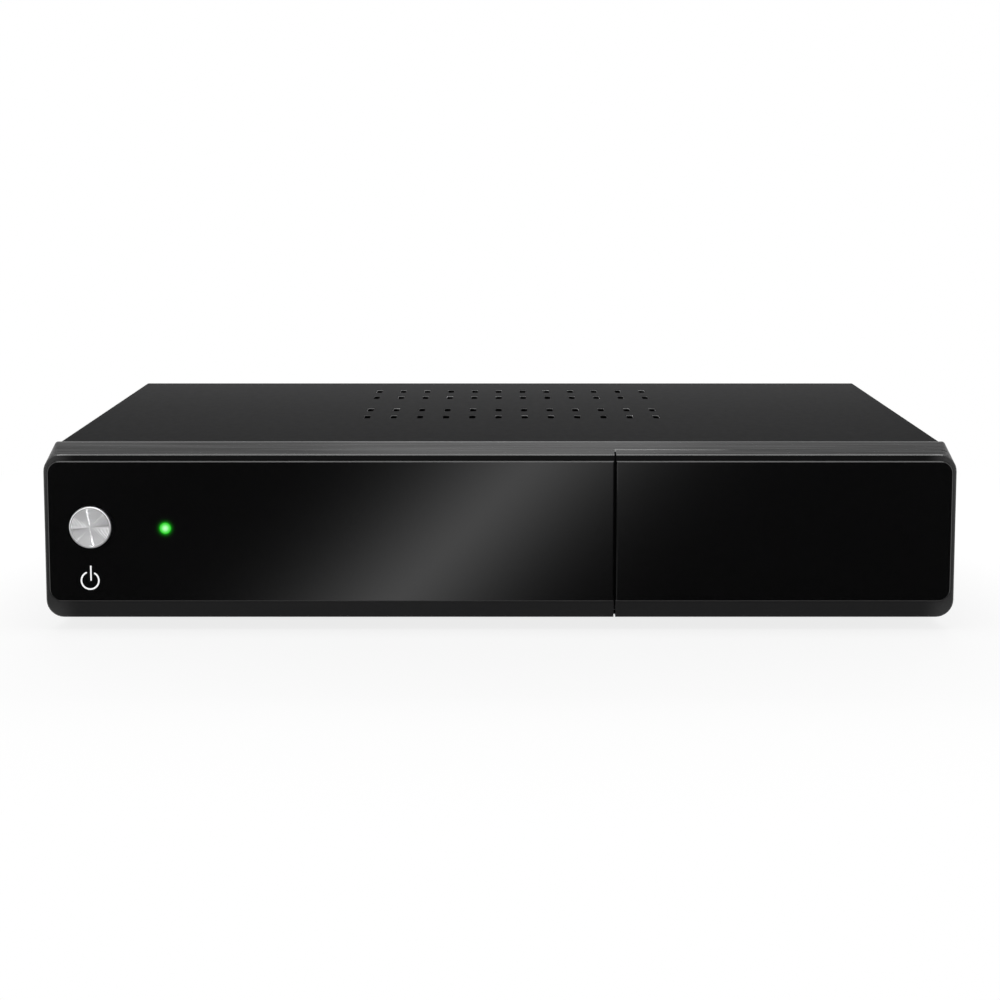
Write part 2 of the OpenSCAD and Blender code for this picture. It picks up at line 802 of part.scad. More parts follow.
// Gloss plate left of the split, drilled for the button and the light
module front_window() {
    color([0.02, 0.02, 0.02]) stand() difference() {
        window_plate(rim_side - half_w, fixed_x - window_setback);
        along_y(button_x, -far / 2, button_z, button_d / 2 + button_gap, far);
        along_y(light_x, -far / 2, light_z, light_d / 2 + light_fit, far);
    }
}

// Right-hand end of the front, which folds down about its lower edge
module flap_frame() {
    lug_side = lug_r + swing_gap;
    notch_x = [lug_x - swing_gap, lug_x + lug_w + swing_gap];
    color([0.10, 0.10, 0.10]) stand() difference() {
        intersection() {
            front_form();
            block([flap_x, far], [-over, flap_depth], [0, far]);
        }
        window_recess();
        block([flap_x + flap_flange, half_w - rim_side - flap_flange], [recess_d + flap_skin, far],
            [bezel_z + rim_bottom, face_top - rim_top]);
        along_y(catch_x, recess_d + flap_skin, catch_z, striker_d / 2 + striker_fit, far);
        along_x(notch_x[0], pivot_back, pivot_z, lug_side, notch_x[1] - notch_x[0]);
        block(notch_x, [pivot_back - lug_side, far], [0, pivot_z]);
        block(notch_x, [pivot_back, far], [0, pivot_z + lug_side]);
        along_x(flap_x - over, pivot_back, pivot_z, pin_r + hinge_fit, hinge_grip + over);
        along_x(notch_x[0] - hinge_grip, pivot_back, pivot_z, pin_r + hinge_fit,
            2 * hinge_grip + notch_x[1] - notch_x[0]);
    }
}

module flap_window() {
    color([0.02, 0.02, 0.02]) stand()
        window_plate(half_w - rim_side, flap_x + window_setback);
}

// Steel pins held in the bezel: one at the split, one through the lug
module flap_hinge_pins() {
    play = swing_gap / 2;
    color("silver") stand() {
        along_x(fixed_x - hinge_grip, pivot_back, pivot_z, pin_r,
            2 * hinge_grip + flap_gap - play);
        along_x(lug_x - swing_gap - hinge_grip + play, pivot_back, pivot_z, pin_r,
            lug_w + 2 * (hinge_grip + swing_gap - play));
    }
}

module flap_magnet() {
    color([0.45, 0.45, 0.47]) stand()
        along_y(catch_x, seat_y, catch_z, magnet_d / 2, magnet_t);
}

module flap_striker() {
    color("silver") stand()
        along_y(catch_x, recess_d + flap_skin, catch_z, striker_d / 2, striker_t);
}

// Spun aluminium cap, turned on its own axis
module power_button_cap() {
    r = button_d / 2;
    back = face_wall - cap_setback - button_face;
    socket = back / 2;
    color([0.80, 0.80, 0.82]) stand()
        translate([button_x, button_face, button_z])
            rotate([-90, 0, 0])
                rotate_extrude()
                    polygon([
                        [0, 0], [r - button_rim, 0], [r, button_rim], [r, back],
                        [stem_d / 2, back], [stem_d / 2, socket], [0, socket]
                    ]);
}

// Stem pressed into the cap, with the collar that keeps it behind the face
module power_button_stem() {
    socket = (button_face + face_wall - cap_setback) / 2;
    color([0.15, 0.15, 0.15]) stand()
        translate([button_x, 0, button_z])
            rotate([-90, 0, 0])
                rotate_extrude()
                    polygon([
                        [0, socket], [stem_d / 2, socket], [stem_d / 2, collar_y],
                        [collar_r, collar_y], [collar_r, collar_y + collar_t],
                        [stem_d / 2, collar_y + collar_t],
                        [stem_d / 2, stem_end], [0, stem_end]
                    ]);
}

module power_switch_body() {
    well = plunger_d / 2 + guide_fit;
    color([0.12, 0.12, 0.12]) stand() difference() {
        block([button_x - switch_w / 2, button_x + switch_w / 2], [switch_y, front_board_y],
            [button_z - switch_w / 2, button_z + switch_w / 2]);
        along_y(button_x, switch_y - over, button_z, well, switch_h / 2 + button_travel + over);
    }
}

module power_switch_plunger() {
    end = switch_y + switch_h / 2 - stem_gap;
    color([0.85, 0.83, 0.78]) stand()
        along_y(button_x, plunger_y, button_z, plunger_d / 2, end - plunger_y);
}

// Clear rod from the light-emitting chip to the window's surface
module light_pipe() {
    color([0.35, 0.95, 0.45]) stand()
        along_y(light_x, -window_proud, light_z, light_d / 2,
            front_board_y - led_t + window_proud - light_fit);
}

module status_led() {
    color([0.90, 0.92, 0.85]) stand()
        block([light_x - light_d / 2, light_x + light_d / 2], [front_board_y - led_t, front_board_y],
            [light_z - light_d / 2, light_z + light_d / 2]);
}

// Infrared receiver with a round lens towards the window
module remote_receiver() {
    color([0.10, 0.08, 0.10]) stand() {
        block([ir_x - ir_d / 2, ir_x + ir_d / 2], [front_board_y - ir_t / 2, front_board_y],
            [light_z - ir_d / 2, light_z + ir_d / 2]);
        along_y(ir_x, front_board_y - ir_t, light_z, ir_d / 2 - cut_gap, ir_t / 2 + bite);
    }
}

module front_board() {
    color([0.05, 0.32, 0.15]) stand() difference() {
        block([front_board_x, front_board_x + front_board_w], [front_board_y, front_board_y + board_t],
            [front_board_z, front_board_z + front_board_h]);
        for (spot = front_screw_spots())
            along_y(spot[0], 0, spot[1], screw_d / 2 + shank_gap, far);
    }
}

module front_board_screws() {
    color("silver") stand()
        for (spot = front_screw_spots())
            translate([spot[0], front_board_y + board_t, spot[1]])
                rotate([-90, 0, 0])
                    screw();
}

ribbon_x = front_board_x + front_board_w - front_screw_inset - boss_d - ribbon_w / 2;
ribbon_z0 = board_top + ribbon_plug_h / 2;
ribbon_z1 = front_board_z + boss_d;
ribbon_y0 = front_board_y + board_t + ribbon_plug_h;
ribbon_bend = (ribbon_z1 - ribbon_z0) / 2;
ribbon_y1 = board_y + board_screw_inset;

module ribbon_connectors() {
    x = [ribbon_x - ribbon_w / 2 - part_gap, ribbon_x + ribbon_w / 2 + part_gap];
    color([0.90, 0.88, 0.80]) stand() {
        block(x, [front_board_y + board_t, ribbon_y0],
            [ribbon_z1 - ribbon_plug_h / 2, ribbon_z1 + ribbon_plug_h / 2]);
        block(x, [ribbon_y1, ribbon_y1 + 2 * ribbon_plug_h], [board_top, board_top + ribbon_plug_h]);
    }
}

module ribbon_arc(y, z, turn) {
    translate([y, z]) rotate(turn) intersection() {
        difference() {
            circle(r = ribbon_bend + ribbon_t / 2);
            circle(r = ribbon_bend - ribbon_t / 2);
        }
        square(ribbon_bend * 2);
    }
}

// Flat cable that drops in an S from the front board to the main board
module ribbon_cable() {
    bend_y = (ribbon_y0 + ribbon_y1) / 2;
    start = bend_y - ribbon_bend - ribbon_y0;
    color([0.85, 0.85, 0.82]) stand()
        side_profile(ribbon_x - ribbon_w / 2, ribbon_w) {
            translate([ribbon_y0, ribbon_z1 - ribbon_t / 2]) square([start, ribbon_t]);
            ribbon_arc(bend_y - ribbon_bend, ribbon_z1 - ribbon_bend, 0);
            ribbon_arc(bend_y + ribbon_bend, ribbon_z0 + ribbon_bend, 180);
            translate([bend_y + ribbon_bend, ribbon_z0 - ribbon_t / 2]) square([start, ribbon_t]);
        }
}

// Bent sheet seen from the front: a box with two rounded corners on one side
module bent_box(w, z, r, low) {
    round_z = low ? z[0] + r : z[1] - r;
    translate([-w / 2, low ? round_z : z[0]]) square([w, z[1] - z[0] - r]);
    translate([r - w / 2, z[0]]) square([w - 2 * r, z[1] - z[0]]);
    for (s = [-1, 1])
        translate([s * (w / 2 - r), round_z]) circle(r = r);
}

// The same seen from the side: one rounded corner, at the rear
module bent_side(y, z, r, low) {
    round_z = low ? z[0] + r : z[1] - r;
    translate([y[0], low ? round_z : z[0]]) square([y[1] - y[0], z[1] - z[0] - r]);
    translate([y[0], z[0]]) square([y[1] - y[0] - r, z[1] - z[0]]);
    translate([y[1] - r, round_z]) circle(r = r);
}

module bent_shape(w, y, z, r, low) {
    intersection() {
        front_profile(y[0], y[1] - y[0]) bent_box(w, z, r, low);
        side_profile(-w / 2, w) bent_side(y, z, r, low);
    }
}

module rear_cutouts() {
    y0 = rear_in - over;
    len = sheet_t + 2 * over;
    for (i = [0, 1])
        along_y(tuner_x + i * rf_pitch, y0, rf_z, rf_d / 2 + cut_gap, len);
    for (i = [-1:1])
        along_y(av_x + i * av_pitch, y0, av_z, av_d / 2 + cut_gap, len);
    along_y(dc_x, y0, dc_z, dc_boss_d / 2 + cut_gap, len);
    for (s = [[hdmi_x, hdmi_w, hdmi_h], [usb_x, usb_w, usb_h], [lan_x, lan_w, lan_h]])
        block([s[0] - s[1] / 2 - cut_gap, s[0] + s[1] / 2 + cut_gap], [y0, y0 + len],
            [board_top - cut_gap, board_top + s[2] + cut_gap]);
    block([rocker_x - rocker_hole_w / 2 - cut_gap, rocker_x + rocker_hole_w / 2 + cut_gap],
        [y0, y0 + len],
        [rocker_z - rocker_hole_h / 2 - cut_gap, rocker_z + rocker_hole_h / 2 + cut_gap]);
}

function rear_screw_x() = [for (i = [-1:1]) i * rear_screw_pitch];

lip_screw_z = cover_top - rear_lip_h / 2;

// Lower half of the case: floor, side and front flanges, and the rear wall
module base_tray() {
    mid_y = (case_y + rear_y) / 2;
    color([0.16, 0.16, 0.17]) stand() difference() {
        bent_shape(tray_w, [case_y, rear_y], [foot_h, rear_top], bend_r, true);
        bent_shape(tray_w - 2 * sheet_t, [case_y + sheet_t, rear_in], [floor_z, far],
            bend_r - sheet_t, true);
        block([-far, far], [0, rear_in], [foot_h + flange_h, far]);
        block([bay_x0 - bay_wall - bay_fit, far], [0, case_y + sheet_t + bite],
            [bay_z0 - bay_wall - sheet_gap, far]);
        rear_cutouts();
        for (spot = bezel_screw_spots())
            along_y(spot[0], case_y - over, spot[1], screw_d / 2 + shank_gap, sheet_t + 2 * over);
        for (y = side_screw_spots())
            along_x(-far / 2, y, foot_h + side_screw_up, screw_d / 2 + thread_fit, far);
        for (x = rear_screw_x())
            along_y(x, rear_in - over, lip_screw_z, screw_d / 2 + thread_fit, sheet_t + 2 * over);
        for (i = [0 : low_vent_count - 1])
            translate([(i - (low_vent_count - 1) / 2) * low_vent_pitch, mid_y, foot_h - over])
                linear_extrude(sheet_t + 2 * over)
                    stadium(vent_w, low_vent_len);
    }
}

// Slots in the top, in two pairs of rows
module top_vents() {
    for (row = [0 : 3], i = [0 : vent_columns - 1])
        translate([
            vent_offset + (i - (vent_columns - 1) / 2) * vent_pitch,
            case_y + vent_start + (row % 2) * vent_pair + floor(row / 2) * vent_group,
            cover_top - sheet_t - over
        ])
            linear_extrude(sheet_t + 2 * over)
                stadium(vent_w, vent_len);
}

// Upright slots in both sides, towards the rear
module side_vents() {
    z = (foot_h + flange_h + cover_top) / 2;
    for (i = [0 : low_vent_count - 1])
        translate([-far / 2, rear_y - side_screw_inset - i * low_vent_pitch, z])
            rotate([90, 0, 90])
                linear_extrude(far)
                    stadium(vent_w, low_vent_len);
}

// Upper half of the case: top, both sides and a lip over the rear wall
module top_cover() {
    color([0.13, 0.13, 0.13]) stand() difference() {
        bent_shape(cover_w, [case_y, cover_end], [foot_h, cover_top], bend_r, false);
        bent_shape(cover_w - 2 * sheet_t, [-far, cover_end - sheet_t], [-far, cover_top - sheet_t],
            bend_r - sheet_t, false);
        block([sheet_t - cover_w / 2, cover_w / 2 - sheet_t], [rear_y, far],
            [0, cover_top - rear_lip_h]);
        top_vents();
        side_vents();
        for (y = side_screw_spots())
            along_x(-far / 2, y, foot_h + side_screw_up, screw_d / 2 + shank_gap, far);
        for (x = rear_screw_x())
            along_y(x, rear_y, lip_screw_z, screw_d / 2 + shank_gap, far);
    }
}

module cover_screws() {
    color([0.20, 0.20, 0.21]) stand() {
        for (s = [-1, 1], y = side_screw_spots())
            translate([s * cover_w / 2, y, foot_h + side_screw_up])
                rotate([0, s * 90, 0])
                    screw();
        for (x = rear_screw_x())
            translate([x, cover_end, lip_screw_z])
                rotate([-90, 0, 0])
                    screw();
    }
}

module bezel_screws() {
    color("silver") stand()
        for (spot = bezel_screw_spots())
            translate([spot[0], case_y + sheet_t, spot[1]])
                rotate([-90, 0, 0])
                    screw();
}

module rubber_feet() {
    r = foot_d / 2;
    x = tray_w / 2 - foot_inset;
    color([0.07, 0.07, 0.07]) stand()
        for (s = [-1, 1], y = [case_y + foot_inset, rear_y - foot_inset])
            translate([s * x, y, 0])
                rotate_extrude()
                    polygon([
                        [0, 0], [r - 2 * foot_draft, 0], [r - foot_draft, foot_draft],
                        [r, foot_h], [0, foot_h]
                    ]);
}

module main_board() {
    color([0.05, 0.32, 0.15]) stand() difference() {
        block([-board_half, board_half], [board_y, board_end], [board_z, board_top]);
        for (spot = board_screw_spots())
            translate([spot[0], spot[1], board_z - over])
                cylinder(r = screw_d / 2 + shank_gap, h = board_t + 2 * over);
    }
}

module board_standoffs() {
    color([0.75, 0.62, 0.30]) stand()
        for (spot = board_screw_spots())
            translate([spot[0], spot[1], floor_z])
                difference() {
                    cylinder(d = standoff_af / cos(30), h = board_lift, $fn = 6);
                    translate([0, 0, -over])
                        cylinder(r = screw_d / 2 + thread_fit, h = board_lift + 2 * over);
                }
}

module board_screws() {
    color("silver") stand()
        for (spot = board_screw_spots())
            translate([spot[0], spot[1], board_top])
                screw();
}

module processor() {
    color([0.10, 0.10, 0.11]) stand()
        translate([chip_x - chip_w / 2, chip_y - chip_w / 2, board_top])
            cube([chip_w, chip_w, chip_t]);
}

// Finned aluminium block on the processor
module heat_sink() {
    z = board_top + chip_t;
    pitch = (sink_w - fin_t) / (fin_count - 1);
    color([0.70, 0.71, 0.73]) stand()
        translate([chip_x - sink_w / 2, chip_y - sink_w / 2, z]) {
            cube([sink_w, sink_w, sink_base]);
            for (i = [0 : fin_count - 1])
                translate([i * pitch, 0, 0])
                    cube([fin_t, sink_w, sink_h]);
        }
}

// Memory in a row in front of the heat sink
module memory_chips() {
    y = chip_y - sink_w / 2 - memory_gap - memory_len;
    pitch = memory_w + part_gap;
    color([0.08, 0.08, 0.09]) stand()
        for (i = [0 : memory_count - 1])
            translate([chip_x + (i - memory_count / 2) * pitch, y, board_top])
                cube([memory_w, memory_len, memory_t]);
}

// Smoothing capacitors in a row near the power inlet
module capacitors() {
    y = board_end - tuner_len;
    color([0.20, 0.22, 0.35]) stand()
        for (i = [0 : cap_count - 1])
            translate([dc_x - i * (cap_d + 2 * part_gap), y, board_top])
                cylinder(d = cap_d, h = cap_h);
}

// Tinplate box round the receiver's input stage, open towards the board
module tuner_can() {
    x = [tuner_x - tuner_margin, tuner_x + rf_pitch + tuner_margin];
    y = [tuner_end - tuner_len, tuner_end];
    top = board_top + tuner_h;
    color([0.72, 0.72, 0.70]) stand() difference() {
        block(x, y, [board_top, top]);
        block([x[0] + shell_t, x[1] - shell_t], [y[0] + shell_t, y[1] - shell_t],
            [board_top - over, top - shell_t]);
        for (i = [0, 1])
            along_y(tuner_x + i * rf_pitch, tuner_end - rf_d, rf_z, rf_root_d / 2, far);
    }
}

// Threaded sleeves of the aerial connectors, full size beyond their nuts
module aerial_barrels() {
    nut_end = rear_y + nut_t;
    color([0.78, 0.76, 0.68]) stand()
        for (i = [0, 1])
            difference() {
                union() {
                    along_y(tuner_x + i * rf_pitch, tuner_end - rf_d, rf_z, rf_root_d / 2,
                        nut_end - tuner_end + rf_d);
                    along_y(tuner_x + i * rf_pitch, nut_end, rf_z, rf_d / 2, rf_len - nut_t);
                }
                along_y(tuner_x + i * rf_pitch, tuner_end, rf_z, rf_core_d / 2, far);
            }
}

module aerial_insulators() {
    depth = rear_y + rf_len - tuner_end - rf_setback;
    color([0.92, 0.92, 0.88]) stand()
        for (i = [0, 1])
            difference() {
                along_y(tuner_x + i * rf_pitch, tuner_end, rf_z, rf_core_d / 2, depth);
                along_y(tuner_x + i * rf_pitch, tuner_end + rf_d / 2, rf_z, rf_hole_d / 2, far);
            }
}

module aerial_nuts() {
    color([0.80, 0.78, 0.70]) stand()
        for (i = [0, 1])
            translate([tuner_x + i * rf_pitch, rear_y, rf_z])
                rotate([-90, 0, 0])
                    difference() {
                        cylinder(d = nut_af / cos(30), h = nut_t, $fn = 6);
                        translate([0, 0, -over]) cylinder(d = rf_root_d, h = nut_t + 2 * over);
                    }
}

// Moulded block behind the rear wall that carries three round sockets
module av_socket_block() {
    color([0.09, 0.09, 0.09]) stand() difference() {
        block([av_x - 1.5 * av_pitch, av_x + 1.5 * av_pitch], [tuner_end - av_body_len, tuner_end],
            [board_top, av_z + av_pitch / 2]);
        for (i = [-1:1])
            along_y(av_x + i * av_pitch, av_seat, av_z, av_d / 2, far);
    }
}

module av_socket_shells() {
    color([0.80, 0.80, 0.80]) stand()
        for (i = [-1:1])
            difference() {
                along_y(av_x + i * av_pitch, av_seat, av_z, av_d / 2, rear_y + av_len - av_seat);
                along_y(av_x + i * av_pitch, av_seat - over, av_z, av_insert_d / 2, far);
            }
}

// Coloured insulator inside one round socket
module av_insert(i) {
    len = rear_y + av_len - av_setback - av_seat;
    stand() difference() {
        along_y(av_x + i * av_pitch, av_seat, av_z, av_insert_d / 2, len);
        along_y(av_x + i * av_pitch, av_seat + shell_t, av_z, av_hole_d / 2, far);
    }
}

module av_insert_video() color([0.92, 0.78, 0.10]) av_insert(1);

module av_insert_left() color([0.93, 0.93, 0.92]) av_insert(0);

module av_insert_right() color([0.80, 0.10, 0.10]) av_insert(-1);

// Display socket: a steel shell with its two lower corners cut off
module hdmi_socket() {
    w = hdmi_w / 2;
    cut = hdmi_h / 3;
    t = shell_t;
    color([0.75, 0.75, 0.76]) stand() translate([hdmi_x, 0, board_top]) difference() {
        front_profile(mouth_y - hdmi_len, hdmi_len)
            polygon([
                [cut - w, 0], [w - cut, 0], [w, cut], [w, hdmi_h], [-w, hdmi_h], [-w, cut]
            ]);
        front_profile(mouth_y - hdmi_len + t, hdmi_len)
            polygon([
                [cut - w + t, t], [w - cut - t, t], [w - t, cut + t],
                [w - t, hdmi_h - t], [t - w, hdmi_h - t], [t - w, cut + t]
            ]);
    }
}

// Bus socket: a steel shell, closed at the back, with its mouth towards the given side
module bus_shell(x, y, mouth) {
    color([0.75, 0.75, 0.76]) stand() difference() {
        block([x - usb_w / 2, x + usb_w / 2], y, [board_top, board_top + usb_h]);
        block([x - usb_w / 2 + shell_t, x + usb_w / 2 - shell_t],
            mouth > 0 ? [y[0] + shell_t, far] : [-far, y[1] - shell_t],
            [board_top + shell_t, board_top + usb_h - shell_t]);
    }
}

module rear_usb_socket() bus_shell(usb_x, [mouth_y - usb_len, mouth_y], 1);

module front_usb_socket() bus_shell(front_usb_x, [bay_depth - mouth_proud, bay_depth + usb_len], -1);

// Contact tongues inside the display and bus sockets
module socket_tongues() {
    usb_z = [board_top + usb_h / 2, board_top + usb_h / 2 + usb_tongue_t];
    hdmi_z = board_top + hdmi_h / 2;
    color([0.06, 0.06, 0.06]) stand() {
        block([hdmi_x - hdmi_tongue_w / 2, hdmi_x + hdmi_tongue_w / 2],
            [mouth_y - hdmi_len + shell_t, mouth_y - tongue_setback],
            [hdmi_z - hdmi_tongue_t / 2, hdmi_z + hdmi_tongue_t / 2]);
        block([usb_x - usb_tongue_w / 2, usb_x + usb_tongue_w / 2],
            [mouth_y - usb_len + shell_t, mouth_y - tongue_setback], usb_z);
        block([front_usb_x - usb_tongue_w / 2, front_usb_x + usb_tongue_w / 2],
            [bay_depth + tongue_setback, bay_depth + usb_len - shell_t], usb_z);
    }
}

// Network socket: a shielded block with a stepped mouth for the plug and its latch
module network_socket() {
    z0 = board_top + lan_floor;
    y = [mouth_y - lan_mouth_len, far];
    color([0.72, 0.72, 0.72]) stand() difference() {
        block([lan_x - lan_w / 2, lan_x + lan_w / 2], [mouth_y - lan_len, mouth_y],
            [board_top, board_top + lan_h]);
        block([lan_x - lan_mouth_w / 2, lan_x + lan_mouth_w / 2], y, [z0, z0 + lan_mouth_h]);
        block([lan_x - lan_key_w / 2, lan_x + lan_key_w / 2], y,
            [z0, z0 + lan_mouth_h + lan_key_h]);
    }
}

// Power inlet: a square body with a round mouth through the rear wall
module dc_inlet() {
    color([0.08, 0.08, 0.08]) stand() difference() {
        union() {
            block([dc_x - dc_boss_d / 2, dc_x + dc_boss_d / 2], [tuner_end - dc_len, tuner_end],
                [board_top, dc_z + dc_boss_d / 2]);
            along_y(dc_x, tuner_end - over, dc_z, dc_boss_d / 2, mouth_y - tuner_end + over);
        }
        along_y(dc_x, mouth_y - dc_bore_len, dc_z, dc_bore_d / 2, far);
    }
}

module dc_inlet_pin() {
    color([0.80, 0.78, 0.70]) stand()
        along_y(dc_x, mouth_y - dc_bore_len, dc_z, dc_pin_d / 2, dc_bore_len - dc_pin_setback);
}

// Switch housing snapped into the rear wall, hollowed to the rocker's own swing
module rocker_housing() {
    w = rocker_hole_w / 2;
    h = rocker_hole_h / 2;
    depth = rocker_keel + rocker_r * sin(rocker_tilt) + rocker_gap;
    color([0.07, 0.07, 0.07]) stand() difference() {
        union() {
            block([rocker_x - w, rocker_x + w], [rocker_y - depth - rocker_wall, rear_y + bite],
                [rocker_z - h, rocker_z + h]);
            front_profile(rear_y, rocker_flange_t)
                round_rect(
                    [rocker_x - w - rocker_flange, rocker_x + w + rocker_flange],
                    [rocker_z - h - rocker_flange, rocker_z + h + rocker_flange],
                    rocker_flange
                );
        }
        intersection() {
            along_x(rocker_x - rocker_w / 2 - rocker_gap, rocker_y, rocker_z, rocker_r + rocker_gap,
                rocker_w + 2 * rocker_gap);
            block([-far, far], [rocker_y - depth, far], [0, far]);
        }
        block([rocker_x - rocker_w / 2 - rocker_gap, rocker_x + rocker_w / 2 + rocker_gap],
            [rocker_y, far], [rocker_z - rocker_r - rocker_gap, rocker_z + rocker_r + rocker_gap]);
        along_x(rocker_x - rocker_w / 2 - rocker_gap - rocker_pin_len, rocker_y, rocker_z,
            rocker_pin_d / 2 + rocker_fit, rocker_w + 2 * (rocker_gap + rocker_pin_len));
    }
}

// Rocker with a shallow V face, drawn tilted to one side
module rocker() {
    lift = rocker_pivot_in + rocker_flange_t;
    rise = rocker_r * tan(rocker_tilt);
    pin = rocker_w + 2 * (rocker_gap + rocker_pin_len - rocker_fit);
    color([0.12, 0.12, 0.12]) stand()
        translate([rocker_x, rocker_y, rocker_z])
            rotate([-rocker_tilt, 0, 0]) {
                intersection() {
                    along_x(-rocker_w / 2, 0, 0, rocker_r, rocker_w);
                    side_profile(-rocker_w / 2, rocker_w)
                        polygon([
                            [-rocker_keel, -rocker_r], [lift + rise, -rocker_r], [lift, 0],
                            [lift + rise, rocker_r], [-rocker_keel, rocker_r]
                        ]);
                }
                along_x(-pin / 2, 0, 0, rocker_pin_d / 2, pin);
            }
}

// Guide for a plug-in module, open towards the card bay
module module_cage() {
    y0 = bay_back + sheet_gap;
    color([0.14, 0.14, 0.15]) stand() difference() {
        block([slots_x - cage_w / 2, slots_x + cage_w / 2], [y0, y0 + module_slot_len + cage_wall],
            [board_top, board_top + cage_h]);
        block([slots_x - slot_w / 2, slots_x + slot_w / 2], [0, y0 + module_slot_len],
            [module_slot_z - module_slot_h / 2, module_slot_z + module_slot_h / 2]);
    }
}

module card_reader() {
    y0 = bay_back + sheet_gap;
    color([0.12, 0.12, 0.13]) stand() difference() {
        block([slots_x - cage_w / 2, slots_x + cage_w / 2], [y0, y0 + card_slot_len + reader_wall],
            [reader_z, reader_z + reader_h]);
        block([slots_x - slot_w / 2, slots_x + slot_w / 2], [0, y0 + card_slot_len],
            [card_slot_z - card_slot_h / 2, card_slot_z + card_slot_h / 2]);
    }
}

// Bent sheet that stands on the module cage and carries the card reader
module reader_bracket() {
    y0 = bay_back + sheet_gap;
    color([0.70, 0.70, 0.71]) stand() difference() {
        block([slots_x - cage_w / 2, slots_x + cage_w / 2], [y0, y0 + card_slot_len],
            [bracket_z, reader_z]);
        block([slots_x - cage_w / 2 + sheet_t, slots_x + cage_w / 2 - sheet_t], [0, far],
            [0, reader_z - sheet_t]);
    }
}

front_bezel();
front_window();
flap_frame();
flap_window();
flap_hinge_pins();
flap_magnet();
flap_striker();
power_button_cap();
power_button_stem();
power_switch_body();
power_switch_plunger();
light_pipe();
status_led();
remote_receiver();
front_board();
front_board_screws();
ribbon_connectors();
ribbon_cable();
base_tray();
top_cover();
cover_screws();
bezel_screws();
rubber_feet();
main_board();
board_standoffs();
board_screws();
processor();
heat_sink();
memory_chips();
capacitors();
tuner_can();
aerial_barrels();
aerial_insulators();
aerial_nuts();
av_socket_block();
av_socket_shells();
av_insert_video();
av_insert_left();
av_insert_right();
hdmi_socket();
rear_usb_socket();
network_socket();
dc_inlet();
dc_inlet_pin();
rocker_housing();
rocker();
module_cage();
card_reader();
reader_bracket();
front_usb_socket();
socket_tongues();
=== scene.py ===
import json
import math

import bmesh
import bpy
from bmesh.types import BMEdge, BMFace, BMVert
from mathutils import Matrix, Vector


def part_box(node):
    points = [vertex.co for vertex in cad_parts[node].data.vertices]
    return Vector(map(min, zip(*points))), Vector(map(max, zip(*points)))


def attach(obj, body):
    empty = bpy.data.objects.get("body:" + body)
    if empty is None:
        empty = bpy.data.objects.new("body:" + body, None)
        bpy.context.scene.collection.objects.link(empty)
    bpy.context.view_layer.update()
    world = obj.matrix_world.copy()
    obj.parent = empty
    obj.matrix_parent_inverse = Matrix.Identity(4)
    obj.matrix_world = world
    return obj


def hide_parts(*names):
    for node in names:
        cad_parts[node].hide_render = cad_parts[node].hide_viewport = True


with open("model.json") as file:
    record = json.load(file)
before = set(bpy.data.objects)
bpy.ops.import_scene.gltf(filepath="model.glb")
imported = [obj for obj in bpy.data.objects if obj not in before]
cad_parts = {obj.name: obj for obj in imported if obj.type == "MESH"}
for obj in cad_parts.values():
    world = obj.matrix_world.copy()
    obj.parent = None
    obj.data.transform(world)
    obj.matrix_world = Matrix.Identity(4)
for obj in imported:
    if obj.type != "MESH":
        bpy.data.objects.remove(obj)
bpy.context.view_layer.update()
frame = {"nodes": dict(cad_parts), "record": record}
nodes = frame["nodes"]
scene = bpy.context.scene
mm = 0.001

windowLow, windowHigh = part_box("front_window")
buttonLow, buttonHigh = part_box("power_button_cap")
lightLow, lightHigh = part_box("light_pipe")
bezelLow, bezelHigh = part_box("front_bezel")
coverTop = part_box("top_cover")[1].z
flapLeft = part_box("flap_frame")[0].x
frontY = windowLow.y                      # plane of the gloss plates
faceY = bezelLow.y                        # plane of the rim round them
rimTop = 1.9 * mm
faceTop = windowHigh.z + rimTop           # where the sloping band starts
bandDepth = 12 * mm
buttonMid = (buttonLow + buttonHigh) / 2
buttonRadius = buttonHigh.x - buttonMid.x
lightMid = (lightLow + lightHigh) / 2
lightRadius = lightHigh.x - lightMid.x


# Camera at the photograph's viewing angle; the focal length is in pixels of its picture
cameraSet = {
    "place": (0.0, -0.80906, 0.13702),
    "pitch": 8.018,           # degrees below level
    "focal": 2506.0,
    "picture": 1000,
    "sensor": 36.0,
    "clip": 10 * mm,
}


def makeCamera(setup):
    data = bpy.data.cameras.new("camera")
    data.sensor_width = setup["sensor"]
    data.lens = setup["focal"] / setup["picture"] * setup["sensor"]
    data.clip_start = setup["clip"]
    camera = bpy.data.objects.new("camera", data)
    camera.location = setup["place"]
    camera.rotation_euler = (math.radians(90 - setup["pitch"]), 0, 0)
    scene.collection.objects.link(camera)
    scene.camera = camera


makeCamera(cameraSet)
scene.view_settings.view_transform = "Standard"
print("camera set")


# Shader maths: a wire is a node's output with Python's operators on it
class Wire:
    def __init__(self, graph, socket):
        self.graph = graph
        self.socket = socket

    def math(self, operation, *others):
        inputs = dict(enumerate((self, *others)))
        return self.graph.add("ShaderNodeMath", {"operation": operation}, inputs)

    def reflected(self, operation, other):
        return self.graph.add("ShaderNodeMath", {"operation": operation}, {0: other, 1: self})

    def __add__(self, other):
        return self.math("ADD", other)

    def __sub__(self, other):
        return self.math("SUBTRACT", other)

    def __rsub__(self, other):
        return self.reflected("SUBTRACT", other)

    def __mul__(self, other):
        return self.math("MULTIPLY", other)

    def __truediv__(self, other):
        return self.math("DIVIDE", other)

    def __rtruediv__(self, other):
        return self.reflected("DIVIDE", other)

    __radd__ = __add__
    __rmul__ = __mul__


